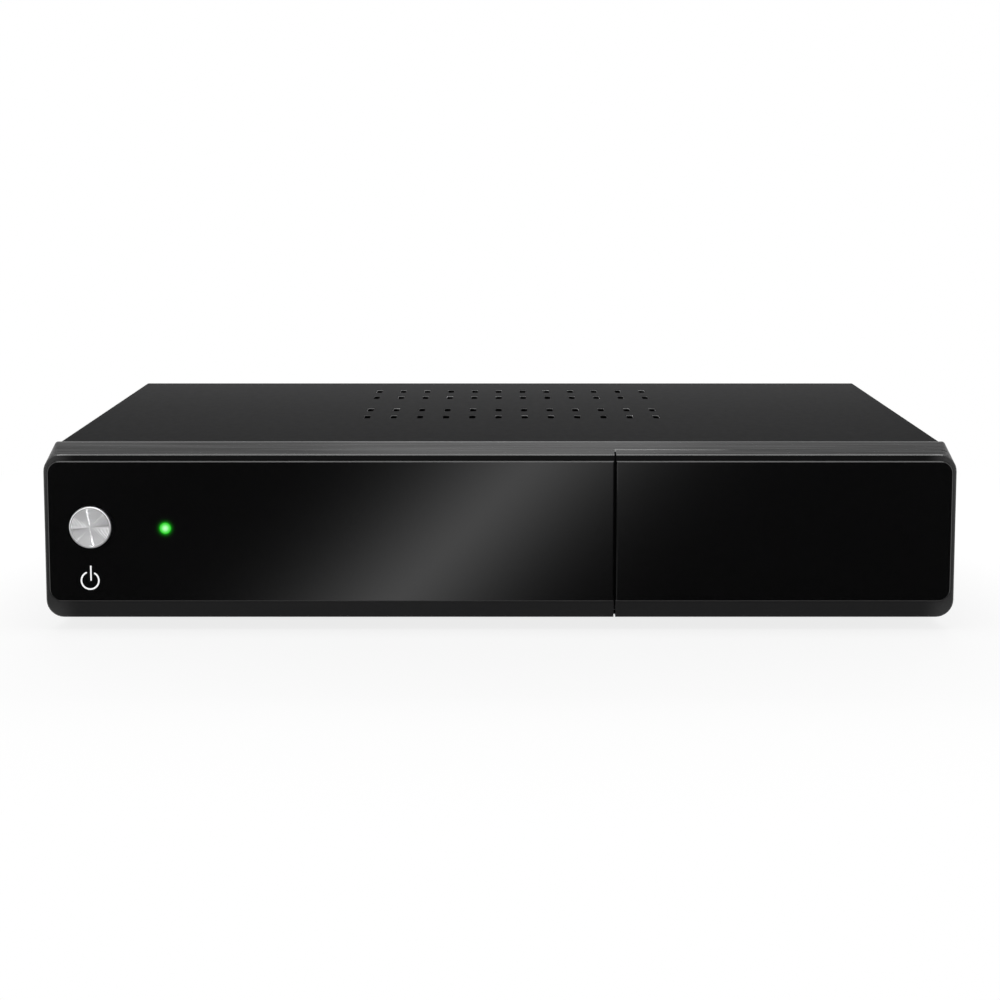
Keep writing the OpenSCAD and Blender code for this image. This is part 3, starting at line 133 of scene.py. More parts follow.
class Graph:
    def __init__(self, tree):
        self.tree = tree

    # Any node: its type, its settings, which are set first, and the values or links of its sockets
    def add(self, kind, settings=None, inputs=None, out=0):
        node = self.tree.nodes.new(kind)
        for key, value in (settings or {}).items():
            if key == "stops":
                self.setStops(node.color_ramp, value)
            else:
                setattr(node, key, value)
        for key, value in (inputs or {}).items():
            self.feed(node.inputs[key], value)
        return Wire(self, node.outputs[out])

    def feed(self, socket, value):
        if isinstance(value, Wire):
            self.tree.links.new(value.socket, socket)
        else:
            socket.default_value = value

    def setStops(self, ramp, stops):
        while len(ramp.elements) < len(stops):
            ramp.elements.new(1.0)
        for element, (place, colour) in zip(ramp.elements, stops):
            element.position = place
            element.color = rgba(colour)

    # The place on the piece, and one of its axes: 0, 1 and 2 are x, y and z
    def objectPlace(self):
        return self.add("ShaderNodeTexCoord", out="Object")

    def axis(self, place, index):
        return self.add("ShaderNodeSeparateXYZ", None, {0: place}, index)

    # 0 below low and 1 above high: a piece's settings hold such borders as pairs, named Start or End
    def step(self, value, low, high):
        return self.add("ShaderNodeMapRange", {"interpolation_type": "SMOOTHSTEP"},
                        {"Value": value, "From Min": low, "From Max": high})

    # 1 below low and 0 above high
    def fade(self, value, low, high):
        return 1 - self.step(value, low, high)

    # 1 between two soft ends
    def span(self, value, start, end):
        return self.step(value, *start) * self.fade(value, *end)


class Finish(Graph):
    def __init__(self, name, sockets):
        self.material = bpy.data.materials.new(name)
        self.material.use_nodes = True
        super().__init__(self.material.node_tree)
        self.shader = self.tree.nodes["Principled BSDF"]
        self.put(sockets)
        self.place = self.objectPlace()
        self.x, self.y, self.z = (self.axis(self.place, index) for index in range(3))

    def put(self, sockets):
        for key, value in sockets.items():
            self.feed(self.shader.inputs[key], value)

    # Noise with features of about the given size, drawn out along an axis by stretch
    def noise(self, size, detail=2.0, stretch=(1, 1, 1)):
        scaled = self.add("ShaderNodeMapping", None, {
            "Vector": self.place, "Scale": [1 / (size * s) for s in stretch]})
        return self.add("ShaderNodeTexNoise", None, {
            "Vector": scaled, "Scale": 1.0, "Detail": detail})

    def mix(self, factor, first, second):
        return self.add("ShaderNodeMix", {"data_type": "RGBA"},
                        {0: factor, 6: rgba(first), 7: rgba(second)}, 2)

    # A colour that runs between a dark and a pale shade of itself
    def shade(self, factor, colour, shades):
        dark, pale = (tuple(c * s for c in colour) for s in shades)
        return self.mix(factor, dark, pale)

    def bump(self, height, depth):
        self.put({"Normal": self.add("ShaderNodeBump", None, {
            "Height": height, "Distance": depth, "Strength": 1.0})})

    def distanceXZ(self, centre):
        dx = self.x - centre.x
        dz = self.z - centre.z
        return (dx * dx + dz * dz).math("SQRT")


def rgba(colour):
    return colour if isinstance(colour, Wire) else (*colour, 1.0)


# A value that strays from its middle by half of spread to either side
def around(middle, spread, wire):
    return middle - spread / 2 + spread * wire


# Steel sheet under a fine black powder coat; the vents' walls get painted shade below a punched edge
# that is painted pale, partly as bare steel and partly as a painted highlight
coverSet = {
    "colour": (0.0202, 0.0202, 0.0205),
    "shades": (0.66, 1.34),
    "roughness": 0.8,
    "roughSpread": 0.1,
    "specular": 0.003,
    "grain": 0.5 * mm,
    "grainShare": 0.4,        # of the mottle; the cloud has the rest
    "cloud": 2.2 * mm,
    "cloudStretch": (1, 2, 1),
    "orangePeel": 0.012 * mm,
    "cutDepth": (0.005 * mm, 0.01 * mm),
    "ventReach": (100 * mm, 80 * mm),   # the vents lie this near the middle, along x and y
    "ventSoft": mm,
    "edgeEnd": (0.136 * mm, 0.17 * mm), # depth of the punched edge
    "edgePatch": 11 * mm,
    "patchStops": (0.3, 0.75),
    # the pale punched edge is partly bare steel and partly a painted highlight
    "edgeHighlightColour": (0.95, 0.95, 0.95),
    "edgeHighlightShades": (0.2, 1.0),
    # painted shade on the vents' walls
    "ventShadeColour": (0.004, 0.004, 0.004),
}


def powderCoat(name, setup):
    f = Finish(name, {"Specular IOR Level": setup["specular"]})
    grain = f.noise(setup["grain"])
    cloud = f.noise(setup["cloud"], 3.0, setup["cloudStretch"])
    share = setup["grainShare"]
    body = f.shade(share * grain + (1 - share) * cloud, setup["colour"], setup["shades"])
    depth = coverTop - f.z
    # painted shade on the vents' walls inside the vented area, under a pale punched edge that is
    # partly a painted highlight
    cut = f.step(depth, *setup["cutDepth"])
    for along, reach in zip((f.x, f.y), setup["ventReach"]):
        cut = cut * f.fade(along.math("ABSOLUTE"), reach, reach + setup["ventSoft"])
    patch = f.step(f.noise(setup["edgePatch"], 0.0), *setup["patchStops"])
    edge = f.shade(patch, setup["edgeHighlightColour"], setup["edgeHighlightShades"])
    paintedVentWall = f.mix(f.step(depth, *setup["edgeEnd"]), edge, setup["ventShadeColour"])
    f.put({
        "Base Color": f.mix(cut, body, paintedVentWall),
        "Roughness": around(setup["roughness"], setup["roughSpread"], grain),
    })
    f.bump(grain, setup["orangePeel"])
    return f


# The tray's vents keep the colour of its paint: a reach below 0 takes the painted shade on the walls
# and the painted edge highlight away
traySet = dict(coverSet, colour=(0.030, 0.030, 0.031), ventReach=(-mm, -mm))


# Satin moulded plastic of the front: fine streaks along its length, and edges polished by the mould
bezelSet = {
    "colour": (0.0105, 0.0105, 0.0108),
    "shades": (0.4, 1.6),
    "roughness": 0.24,
    "roughSpread": 0.2,
    "specular": 0.027,
    "coatRoughness": 0.25,
    "streak": 0.9 * mm,
    "streakLength": 70,
    "streakStops": (0.3, 0.7),
    "streakPolish": 0.24,
    "faceStreak": 0.15,       # share of the streaks that is left below the band
    "grain": 0.12 * mm,
    "grainShare": 0.3,        # of the bump; the streaks have the rest
    "depth": 0.006 * mm,
    "chamfer": 0.3 * mm,      # between the rim's face and the band
    "chamferEnd": (0.33 * mm, 0.39 * mm),
    "chamferPolish": 0.9,
    "bandEnd": (0.27 * mm, 0.36 * mm),
    "faceEnd": (0.27 * mm, 0.33 * mm),
    "rearEnd": (0.7 * mm, 0.84 * mm),
    "rearPolish": 0.45,
    # painted light: the rim's face is painted paler at its ends and along its lower length, where
    # more light falls on it
    "sideEnd": (1 * mm, 9 * mm),        # the rim is paler at its ends, over this length
    "lowStart": (0.0, 0.1 * mm),
    "litRimColour": (0.0275, 0.0275, 0.028),
    "seatBack": 4.3 * mm,     # from the face to the wall behind the flap
    "bayStart": (-0.5 * mm, -0.4 * mm),
    "bayColour": (0.024, 0.024, 0.0245),
    "bayShades": (0.8, 1.2),
    "bevelBack": ((0.02 * mm, 0.05 * mm), (0.8 * mm, 0.96 * mm)),
    "bevelUnder": ((0.01 * mm, 0.03 * mm), (0.8 * mm, 0.96 * mm)),
    "bevelAlong": ((-1 * mm, 0.0), (39 * mm, 40 * mm)),
    "bevelPolish": 0.8,
    "bevelHighlightColour": (0.13, 0.13, 0.13),
}


def bezelPlastic(name, setup):
    f = Finish(name, {
        "Specular IOR Level": setup["specular"], "Coat Roughness": setup["coatRoughness"]})
    streak = f.noise(setup["streak"], 3.0, (setup["streakLength"], 1, 1))
    grain = f.noise(setup["grain"])
    back = f.y - faceY
    down = faceTop - f.z

    # The band on top, and the rim: its face, chamfer, ends, lower length and rear edge
    band = f.fade(down, *setup["bandEnd"])
    face = f.fade(back, *setup["faceEnd"])
    chamfer = f.fade(down, *setup["chamferEnd"]) * f.fade(back, *setup["chamferEnd"])
    side = f.fade(bezelHigh.x - f.x.math("ABSOLUTE"), *setup["sideEnd"])
    low = f.step(windowLow.z - f.z, *setup["lowStart"])
    rear = f.fade(bandDepth - back, *setup["rearEnd"])

    # The bay's walls, and the finger bevel over the flap, which follows the band's slope and is
    # painted pale as a highlight
    seat = back - setup["seatBack"]
    bay = f.step(seat, *setup["bayStart"]) * (1 - band)
    slope = (bezelHigh.z - faceTop) / (bandDepth - setup["chamfer"])
    under = down + slope * (back - setup["chamfer"])
    bevel = (f.span(seat, *setup["bevelBack"]) * f.span(under, *setup["bevelUnder"])
             * f.span(f.x - flapLeft, *setup["bevelAlong"]))

    kept = setup["faceStreak"]
    lines = 0.5 + (f.step(streak, *setup["streakStops"]) - 0.5) * (kept + (1 - kept) * band)
    outer = f.shade(lines, setup["colour"], setup["shades"])
    walls = f.shade(grain, setup["bayColour"], setup["bayShades"])
    # the rim's face takes the painted paler colour at its ends and below the plates
    tone = f.mix(face * side.math("MAXIMUM", low), f.mix(bay, outer, walls), setup["litRimColour"])
    f.put({
        # the finger bevel gets a pale painted highlight
        "Base Color": f.mix(bevel, tone, setup["bevelHighlightColour"]),
        "Roughness": around(setup["roughness"], setup["roughSpread"], lines),
        "Coat Weight": (
            setup["chamferPolish"] * chamfer + setup["rearPolish"] * rear
            + setup["bevelPolish"] * bevel + face * side
            + setup["streakPolish"] * band * lines),
    })
    share = setup["grainShare"]
    f.bump((1 - share) * lines + share * grain, setup["depth"])
    return f


# Polished black acrylic; a painted glow from the status light spreads a little way into it
windowSet = {
    "colour": (0.0056, 0.0056, 0.0058),
    "shades": (0.9, 1.1),
    "ior": 1.52,
    "roughness": 0.03,
    "wipe": 18 * mm,
    "wipeStretch": (2.5, 1, 1),
    "wipeRough": 0.03,
    "glow": (0.012, 0.48, 0.012),
    "glowFall": 0.27 * mm,
    "bevelEnd": (0.285 * mm, 0.3 * mm), # of the plate's upper and lower edge
    # the plate's lower bevel is painted paler: partly its matt sawn edge, partly a painted highlight
    "lowEdgeHighlight": (0.028, 0.028, 0.028),
    "lowRough": 0.4,
    "highRough": 0.3,
}


def windowAcrylic(name, setup):
    f = Finish(name, {"IOR": setup["ior"], "Emission Strength": 1.0})
    wipe = f.noise(setup["wipe"], 4.0, setup["wipeStretch"])
    past = f.distanceXZ(lightMid) - lightRadius
    # painted glow round the status light
    glow = (past / -setup["glowFall"]).math("EXPONENT").math("MINIMUM", 1.0)
    # mask of the lower bevel that takes the painted highlight
    low = f.fade(f.z - windowLow.z, *setup["bevelEnd"])
    high = f.fade(windowHigh.z - f.z, *setup["bevelEnd"])
    face = f.shade(wipe, setup["colour"], setup["shades"])
    f.put({
        "Base Color": f.mix(low, face, setup["lowEdgeHighlight"]),
        "Roughness": (
            setup["roughness"] + setup["wipeRough"] * wipe
            + setup["lowRough"] * low + setup["highRough"] * high),
        "Emission Color": f.mix(glow, (0, 0, 0), setup["glow"]),
    })
    return f


# Spun aluminium: fine scratches that run round the face
buttonSet = {
    "colour": (0.80, 0.80, 0.81),
    "shades": (0.8, 1.1),
    "roughness": 0.085,
    "roughSpread": 0.06,
    "cloud": 0.6 * mm,
    "scratch": 0.045 * mm,
    "scratchShare": 0.5,      # of the shade; the grooves have the rest
    "scratchDepth": 0.002 * mm,
    "groove": 0.42 * mm,
    "rings": 14,
    "ringDepth": 0.06 * mm,
    "ringPoints": 8,
    "rim": 0.5 * mm,
    "rimRoughness": 0.3,
    "rimSoft": 0.1 * mm,
    "rimPoints": 5,
    "stem": 2 * mm,
    "steps": 120,
    "smooth": 50,
}


def buttonMetal(name, setup):
    f = Finish(name, {"Metallic": 1.0})
    radius = f.distanceXZ(buttonMid)
    turned = f.add("ShaderNodeTexNoise", {"noise_dimensions": "1D"}, {
        "W": radius / setup["scratch"], "Scale": 1.0, "Detail": 2.0})
    cloud = f.noise(setup["cloud"])
    groove = 0.5 + 0.5 * (radius * (2 * math.pi / setup["groove"])).math("COSINE")
    land = buttonRadius - setup["rim"]
    rim = f.step(radius, land, land + setup["rimSoft"])
    share = setup["scratchShare"]
    marks = share * turned + (1 - share) * groove
    f.put({
        "Base Color": f.shade(marks, setup["colour"], setup["shades"]),
        "Roughness": (around(setup["roughness"], setup["roughSpread"], cloud)
                      + setup["rimRoughness"] * rim),
    })
    f.bump(turned, setup["scratchDepth"])
    return f


# Green light: nearly white in the middle
lightSet = {
    "stops": [                # share of the radius, and the colour there
        (0.15, (0.50, 1.0, 0.53)),
        (0.38, (0.34, 0.98, 0.35)),
        (0.76, (0.085, 0.73, 0.08)),
        (1.0, (0.035, 0.52, 0.033)),
    ],
    "roughness": 0.2,
    "unlit": (0.0, 0.01, 0.0),
    "unlitShare": 0.9,
}


def lightPlastic(name, setup):
    f = Finish(name, {"Roughness": setup["roughness"], "Emission Strength": 1.0})
    reach = f.distanceXZ(lightMid) / lightRadius
    lit = f.add("ShaderNodeValToRGB", {"stops": setup["stops"]}, {0: reach})
    f.put({"Base Color": f.mix(setup["unlitShare"], lit, setup["unlit"]), "Emission Color": lit})
    return f


# Moulded plastics: a little mottled, with a fine spark-eroded grain
plasticSets = {
    "black_plastic": {"colour": (0.022, 0.022, 0.023), "roughness": 0.48, "grain": 0.18 * mm},
    "pale_plastic": {"colour": (0.74, 0.71, 0.62), "roughness": 0.42, "grain": 0.2 * mm},
    "chip_plastic": {"colour": (0.026, 0.026, 0.028), "roughness": 0.6, "grain": 0.12 * mm},
    "capacitor_sleeve": {"colour": (0.035, 0.045, 0.13), "roughness": 0.3, "grain": 0.3 * mm},
    "video_yellow": {"colour": (0.80, 0.56, 0.02), "roughness": 0.28, "grain": 0.25 * mm},
    "audio_white": {"colour": (0.80, 0.80, 0.78), "roughness": 0.28, "grain": 0.25 * mm},
    "audio_red": {"colour": (0.56, 0.02, 0.02), "roughness": 0.28, "grain": 0.25 * mm},
    "foot_rubber": {"colour": (0.016, 0.016, 0.016), "roughness": 0.82, "grain": 0.35 * mm},
}
mouldSet = {                  # the same for all of them
    "specular": 0.4,
    "shades": (0.82, 1.12),
    "cloud": 30,              # size of the mottle, in grains
    "roughSpread": 0.1,
    "depth": 0.01 * mm,
}


def mouldedPlastic(name, setup):
    f = Finish(name, {"Specular IOR Level": setup["specular"]})
    grain = f.noise(setup["grain"])
    cloud = f.noise(setup["cloud"] * setup["grain"], 3.0)
    f.put({
        "Base Color": f.shade(cloud, setup["colour"], setup["shades"]),
        "Roughness": around(setup["roughness"], setup["roughSpread"], grain),
    })
    f.bump(grain, setup["depth"])
    return f


# Plated and bare metals: drawn marks along one axis over a cloudy plating
metalSets = {
    "zinc_steel": {"colour": (0.60, 0.60, 0.62), "roughness": 0.34, "stretch": (1, 1, 1)},
    "magnet_nickel": {"colour": (0.58, 0.57, 0.55), "roughness": 0.24, "stretch": (1, 1, 1)},
    "tinplate": {"colour": (0.66, 0.66, 0.65), "roughness": 0.30, "stretch": (1, 30, 1)},
    "socket_nickel": {"colour": (0.74, 0.71, 0.64), "roughness": 0.2, "stretch": (1, 1, 1)},
    "standoff_brass": {"colour": (0.74, 0.55, 0.22), "roughness": 0.3, "stretch": (1, 1, 20)},
    "sink_aluminium": {"colour": (0.56, 0.57, 0.59), "roughness": 0.4, "stretch": (1, 60, 1)},
    "contact_gold": {"colour": (0.86, 0.62, 0.24), "roughness": 0.22, "stretch": (1, 20, 1)},
    # painted shade: near-black steel for the hinge pins in the flap's gap
    "gap_shade_steel": {"colour": (0.012, 0.012, 0.013), "roughness": 0.45, "stretch": (1, 1, 1)},
}
platingSet = {                # the same for all of them
    "shades": (0.84, 1.0),
    "drawn": 0.12 * mm,
    "drawnRough": 0.08,
    "cloud": 4 * mm,
    "cloudRough": 0.06,
    "smoother": 0.06,         # roughness taken off where neither is felt
    "depth": 0.004 * mm,
}


def platedMetal(name, setup):
    f = Finish(name, {"Metallic": 1.0})
    drawn = f.noise(setup["drawn"], 3.0, setup["stretch"])
    cloud = f.noise(setup["cloud"], 3.0)
    f.put({
        "Base Color": f.shade(cloud, setup["colour"], setup["shades"]),
        "Roughness": (setup["roughness"] - setup["smoother"]
                      + setup["drawnRough"] * drawn + setup["cloudRough"] * cloud),
    })
    f.bump(drawn, setup["depth"])
    return f


# Circuit board: green mask over copper tracks that run in two directions
boardSet = {
    "mask": (0.008, 0.085, 0.03),
    "track": (0.02, 0.17, 0.06),
    "pitch": 1.27 * mm,
    "trackStops": (0.22, 0.25),         # from a track's edge, in pitches
    "trackDepth": 0.02 * mm,
    "field": 9 * mm,
    "fieldStops": (0.49, 0.51),
    "roughness": 0.35,
    "coat": 0.3,
    "trackCoat": 0.3,
    "coatRoughness": 0.2,
}


def boardLaminate(name, setup):
    f = Finish(name, {"Roughness": setup["roughness"], "Coat Roughness": setup["coatRoughness"]})
    field = f.step(f.noise(setup["field"], 1.0), *setup["fieldStops"])
    along, across = (
        ((axis / setup["pitch"]).math("FRACT") - 0.5).math("ABSOLUTE") for axis in (f.x, f.y))
    track = (f.step(along * field, *setup["trackStops"])
             + f.step(across * (1 - field), *setup["trackStops"]))
    f.put({
        "Base Color": f.mix(track, setup["mask"], setup["track"]),
        "Coat Weight": setup["coat"] + setup["trackCoat"] * track,
    })
    f.bump(track, setup["trackDepth"])
    return f


# Flat cable: pale film with a conductor under each ridge
ribbonSet = {
    "film": (0.74, 0.74, 0.70),
    "wire": (0.52, 0.53, 0.55),
    "pitch": 1.0 * mm,
    "wireEnd": (0.2, 0.3),    # from a conductor's middle, in pitches
    "ridge": 0.05 * mm,
    "roughness": 0.45,
}


def ribbonFilm(name, setup):
    f = Finish(name, {"Roughness": setup["roughness"]})
    across = ((f.x / setup["pitch"]).math("FRACT") - 0.5).math("ABSOLUTE")
    wire = f.fade(across, *setup["wireEnd"])
    f.put({"Base Color": f.mix(wire, setup["film"], setup["wire"])})
    f.bump(wire, setup["ridge"])
    return f


# White screen print, with a painted glow that makes it look lit
printSet = {
    "colour": (0.95, 0.95, 0.95),
    "shades": (0.92, 1.0),
    # painted glow of the ink
    "glow": (0.45, 0.45, 0.45),
    "roughness": 0.55,
    "grain": 0.08 * mm,
    "depth": 0.003 * mm,
}


def whitePrint(name, setup):
    f = Finish(name, {
        "Roughness": setup["roughness"], "Emission Color": rgba(setup["glow"]),
        "Emission Strength": 1.0})
    grain = f.noise(setup["grain"])
    f.put({"Base Color": f.shade(grain, setup["colour"], setup["shades"])})
    f.bump(grain, setup["depth"])
    return f


finishes = {
    "cover_paint": powderCoat("coverPaint", coverSet),
    "tray_paint": powderCoat("trayPaint", traySet),
    "bezel_plastic": bezelPlastic("bezelPlastic", bezelSet),
    "window_acrylic": windowAcrylic("windowAcrylic", windowSet),
    "button_aluminium": buttonMetal("buttonMetal", buttonSet),
    "light_plastic": lightPlastic("lightPlastic", lightSet),
    "board_laminate": boardLaminate("boardLaminate", boardSet),
    "ribbon_film": ribbonFilm("ribbonFilm", ribbonSet),
}
for slot, setup in plasticSets.items():
    finishes[slot] = mouldedPlastic(slot, {**mouldSet, **setup})
for slot, setup in metalSets.items():
    finishes[slot] = platedMetal(slot, {**platingSet, **setup})
printInk = whitePrint("whitePrint", printSet)

# The hinge pins show in the gap beside the flap, so their steel is painted nearly black as painted
# shade of the gap
nodeFinishes = {"flap_hinge_pins": "gap_shade_steel"}
for part in frame["record"]["subparts"]:
    finish = finishes[nodeFinishes.get(part["node"], part["material_slot"])]
    nodes[part["node"]].data.materials[0] = finish.material


# Those of an operator's results that are of one kind
def pick(geom, kind):
    return [element for element in geom if isinstance(element, kind)]


# A rectangle about a place, stood up along x and z, or lying along x and y
def addRectangle(bm, size, place, upright=True):
    verts = bmesh.ops.create_grid(bm, x_segments=1, y_segments=1, size=0.5)["verts"]
    bmesh.ops.scale(bm, verts=verts, vec=(*size, 1))
    if upright:
        bmesh.ops.rotate(bm, verts=verts, matrix=Matrix.Rotation(math.pi / 2, 3, "X"))
    bmesh.ops.translate(bm, verts=verts, vec=place)
    return verts


# Vertices in a row, joined by edges
def addChain(bm, places):
    verts = [bm.verts.new(place) for place in places]
    return verts + [bm.edges.new(pair) for pair in zip(verts, verts[1:])]


# A full turn about an axis along y, from points of radius and y
def spinProfile(bm, points, centre, steps):
    chain = addChain(bm, [(centre.x + radius, y, centre.z) for radius, y in points])
    bmesh.ops.spin(bm, geom=chain, cent=(centre.x, 0, centre.z), axis=(0, 1, 0),
                   angle=2 * math.pi, steps=steps, use_merge=True)


def wholeMesh(bm):
    return bm.verts[:] + bm.edges[:] + bm.faces[:]


def mergeDoubles(bm):
    bmesh.ops.remove_doubles(bm, verts=bm.verts, dist=0.001 * mm)


def makeObject(name, bm, material):
    mesh = bpy.data.meshes.new(name)
    bm.to_mesh(mesh)
    bm.free()
    mesh.materials.append(material)
    thing = bpy.data.objects.new(name, mesh)
    scene.collection.objects.link(thing)
    return thing


# 1 for what is seen straight, in a mirror or through glass
def seenDirectly(graph):
    camera, glossy, through = (
        graph.add("ShaderNodeLightPath", out=name)
        for name in ("Is Camera Ray", "Is Glossy Ray", "Is Transmission Ray"))
    return camera.math("MAXIMUM", glossy).math("MAXIMUM", through)


# White all round for the eye, and a plain level of light for the object
worldSet = {"white": (1, 1, 1), "ambient": 0.3}


def makeWorld(setup):
    world = bpy.data.worlds.new("studio")
    world.use_nodes = True
    scene.world = world
    graph = Graph(world.node_tree)
    seen = seenDirectly(graph)
    sky = world.node_tree.nodes["Background"]
    sky.inputs["Color"].default_value = rgba(setup["white"])
    graph.feed(sky.inputs["Strength"], seen + (1 - seen) * setup["ambient"])


# A plane of the stage, whose surface is the shader that paint returns
def addPlane(name, materialName, size, place, paint):
    material = bpy.data.materials.new(materialName)
    material.use_nodes = True
    tree = material.node_tree
    tree.nodes.remove(tree.nodes["Principled BSDF"])
    graph = Graph(tree)
    graph.feed(tree.nodes["Material Output"].inputs["Surface"], paint(graph))
    bm = bmesh.new()
    addRectangle(bm, size, place, upright=False)
    plane = makeObject(name, bm, material)
    return plane


# Pale floor: it keeps the shadow near the object and is plain white farther off
floorSet = {
    "size": (30.0, 30.0),
    "drop": 0.1 * mm,
    "colour": (0.90, 0.90, 0.90),
    "white": 0.82,            # share of plain white in what the camera sees near the object
    "shadowEnd": (0.128, 0.32),         # the rest fades between these distances
}


def makeFloor(setup):
    def paint(graph):
        matt = graph.add("ShaderNodeBsdfDiffuse", None, {"Color": rgba(setup["colour"])})
        white = graph.add("ShaderNodeEmission", None, {"Strength": 1.0})
        away = graph.add("ShaderNodeVectorMath", {"operation": "LENGTH"},
                         {0: graph.objectPlace()}, "Value")
        shade = (1 - setup["white"]) * graph.fade(away, *setup["shadowEnd"])
        return graph.add("ShaderNodeMixShader", None, {
            0: seenDirectly(graph) * (1 - shade), 1: matt, 2: white})

    addPlane("floor", "floorPaint", setup["size"], (0, 0, -setup["drop"]), paint)


# Black card on the floor in front, with a soft strip of light that the gloss plates mirror.
# Its left end is grey up to a curve round the button, and glows past it.
cardSet = {
    "size": (0.9, 0.56),
    "gap": 6 * mm,            # from the front to the card's near edge
    "lift": 0.1 * mm,
    "eye": 0.7102,            # from the camera to the front; widths grow with the view
    "dark": 134 * mm,         # half width of the dark part at the front
    "darkSoft": 4 * mm,
    "nearTone": 0.65,
    "nearEnd": (27.75 * mm, 37 * mm),   # the pale near edge fades between these
    "stripStart": -37.1 * mm,
    "stripLean": 0.133,
    "stripWidth": 25.6 * mm,
    "stripPower": 1.55,
    "stripLight": 1.3,
    "leftSoft": 5 * mm,
    "leftTone": 0.33,
    "leftEnd": (190 * mm, 194 * mm),    # the curve's distance from the button
    "leftBend": 0.45,         # 0 makes the curve round
    "leftTilt": 6,            # a larger number tilts it less
    "glowEnd": (-280 * mm, -260 * mm),
    "leftGlow": 0.8,
}


def makeCard(setup):
    def paint(graph):
        place = graph.objectPlace()
        x = graph.axis(place, 0)
        ahead = frontY - graph.axis(place, 1)
        fan = 1 + ahead / setup["eye"]
        middle = setup["stripStart"] + setup["stripLean"] * ahead
        off = ((x - middle) / (setup["stripWidth"] * fan)).math("ABSOLUTE")
        strip = (off.math("POWER", setup["stripPower"]) * -1).math("EXPONENT")
        near = graph.fade(ahead, *setup["nearEnd"])
        level = strip * setup["stripLight"] * (1 - near) + near * setup["nearTone"]
        edge = x.math("ABSOLUTE") - setup["dark"] * fan
        beside = graph.step(edge, 0.0, setup["darkSoft"])
        left = graph.fade(x, -setup["leftSoft"], setup["leftSoft"])
        aside = buttonMid.x - x
        bend = setup["leftBend"] * (aside - ahead / setup["leftTilt"])
        past = graph.step((aside * aside + ahead * ahead).math("SQRT") + bend, *setup["leftEnd"])
        grey = (1 - setup["leftTone"]) * left * (1 - past)
        glow = setup["leftGlow"] * graph.fade(x, *setup["glowEnd"]) * past
        return graph.add("ShaderNodeEmission", None, {
            "Strength": level * (1 - beside) + (1 - grey + glow) * beside})

    nearY = frontY - setup["gap"]
    middleY = nearY - setup["size"][1] / 2
    card = addPlane("darkCard", "cardStrip", setup["size"], (0, middleY, setup["lift"]), paint)
    card.visible_camera = False
    card.visible_diffuse = False
    card.visible_shadow = False


# Roll, in degrees, turns a strip into the plane in which the button's rings mirror it
lampSets = {
    "topSoftbox": {
        "place": (0.0, -0.08, 0.95), "aim": (0, -0.08, 0.05),
        "size": (0.9, 0.45), "power": 4.6},
    "rearStrip": {
        "place": (0.0, 0.22, 0.2), "aim": (0, 0.04, 0.05),
        "size": (0.5, 0.06), "power": 1.4, "mirrored": False},
    "rearGlow": {
        "place": (0.0, 1.5, 0.88), "aim": (0, -0.1, 0.05),
        "size": (0.34, 0.4), "power": 0.3},
    "leftSoftbox": {
        "place": (-0.8, -0.75, 0.125), "aim": (-0.1, -0.1, 0.125),
        "size": (0.3, 0.25), "power": 0.28},
    "leftUpper": {
        "place": (-0.76, -0.71, 0.46), "aim": (-0.117, -0.1, 0.03),
        "size": (0.35, 0.36), "power": 0.22},
    "buttonKey": {
        "place": (-0.343, -0.96, 0.36), "aim": (-0.117, -0.1, 0.03),
        "size": (0.014, 0.45), "power": 0.26, "roll": 14.2},
    "buttonFill": {
        "place": (0.156, -1.017, 0.314), "aim": (-0.117, -0.1, 0.03),
        "size": (0.012, 0.3), "power": 0.045, "roll": -47.3},
}


def makeLamp(name, setup):
    data = bpy.data.lights.new(name, "AREA")
    data.shape = "RECTANGLE"
    data.size, data.size_y = setup["size"]
    data.energy = setup["power"]
    lamp = bpy.data.objects.new(name, data)
    lamp.location = setup["place"]
    aim = Vector(setup["aim"]) - Vector(setup["place"])
    roll = Matrix.Rotation(math.radians(setup.get("roll", 0)), 3, "Z")
    lamp.rotation_euler = (aim.to_track_quat("-Z", "Y").to_matrix() @ roll).to_euler()
    lamp.visible_camera = False
    lamp.visible_glossy = setup.get("mirrored", True)
    scene.collection.objects.link(lamp)


makeWorld(worldSet)
makeFloor(floorSet)
makeCard(cardSet)
for name, setup in lampSets.items():
    makeLamp(name, setup)
print("stage and", len(lampSets), "lamps")


# smooth is the angle in degrees up to which an edge is shaded round
def addPiece(name, bm, finish, body, smooth=0):
    mergeDoubles(bm)
    bmesh.ops.recalc_face_normals(bm, faces=bm.faces)
    for face in bm.faces:
        face.smooth = smooth > 0
    piece = makeObject(name, bm, finish.material)
    piece.data.set_sharp_from_angle(angle=math.radians(smooth))
    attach(piece, body)
    return piece


# Flat marks get the thickness of their ink
def raiseInk(bm, ink):
    raised = bmesh.ops.extrude_face_region(bm, geom=bm.faces[:])["geom"]
    bmesh.ops.translate(bm, verts=pick(raised, BMVert), vec=(0, ink, 0))


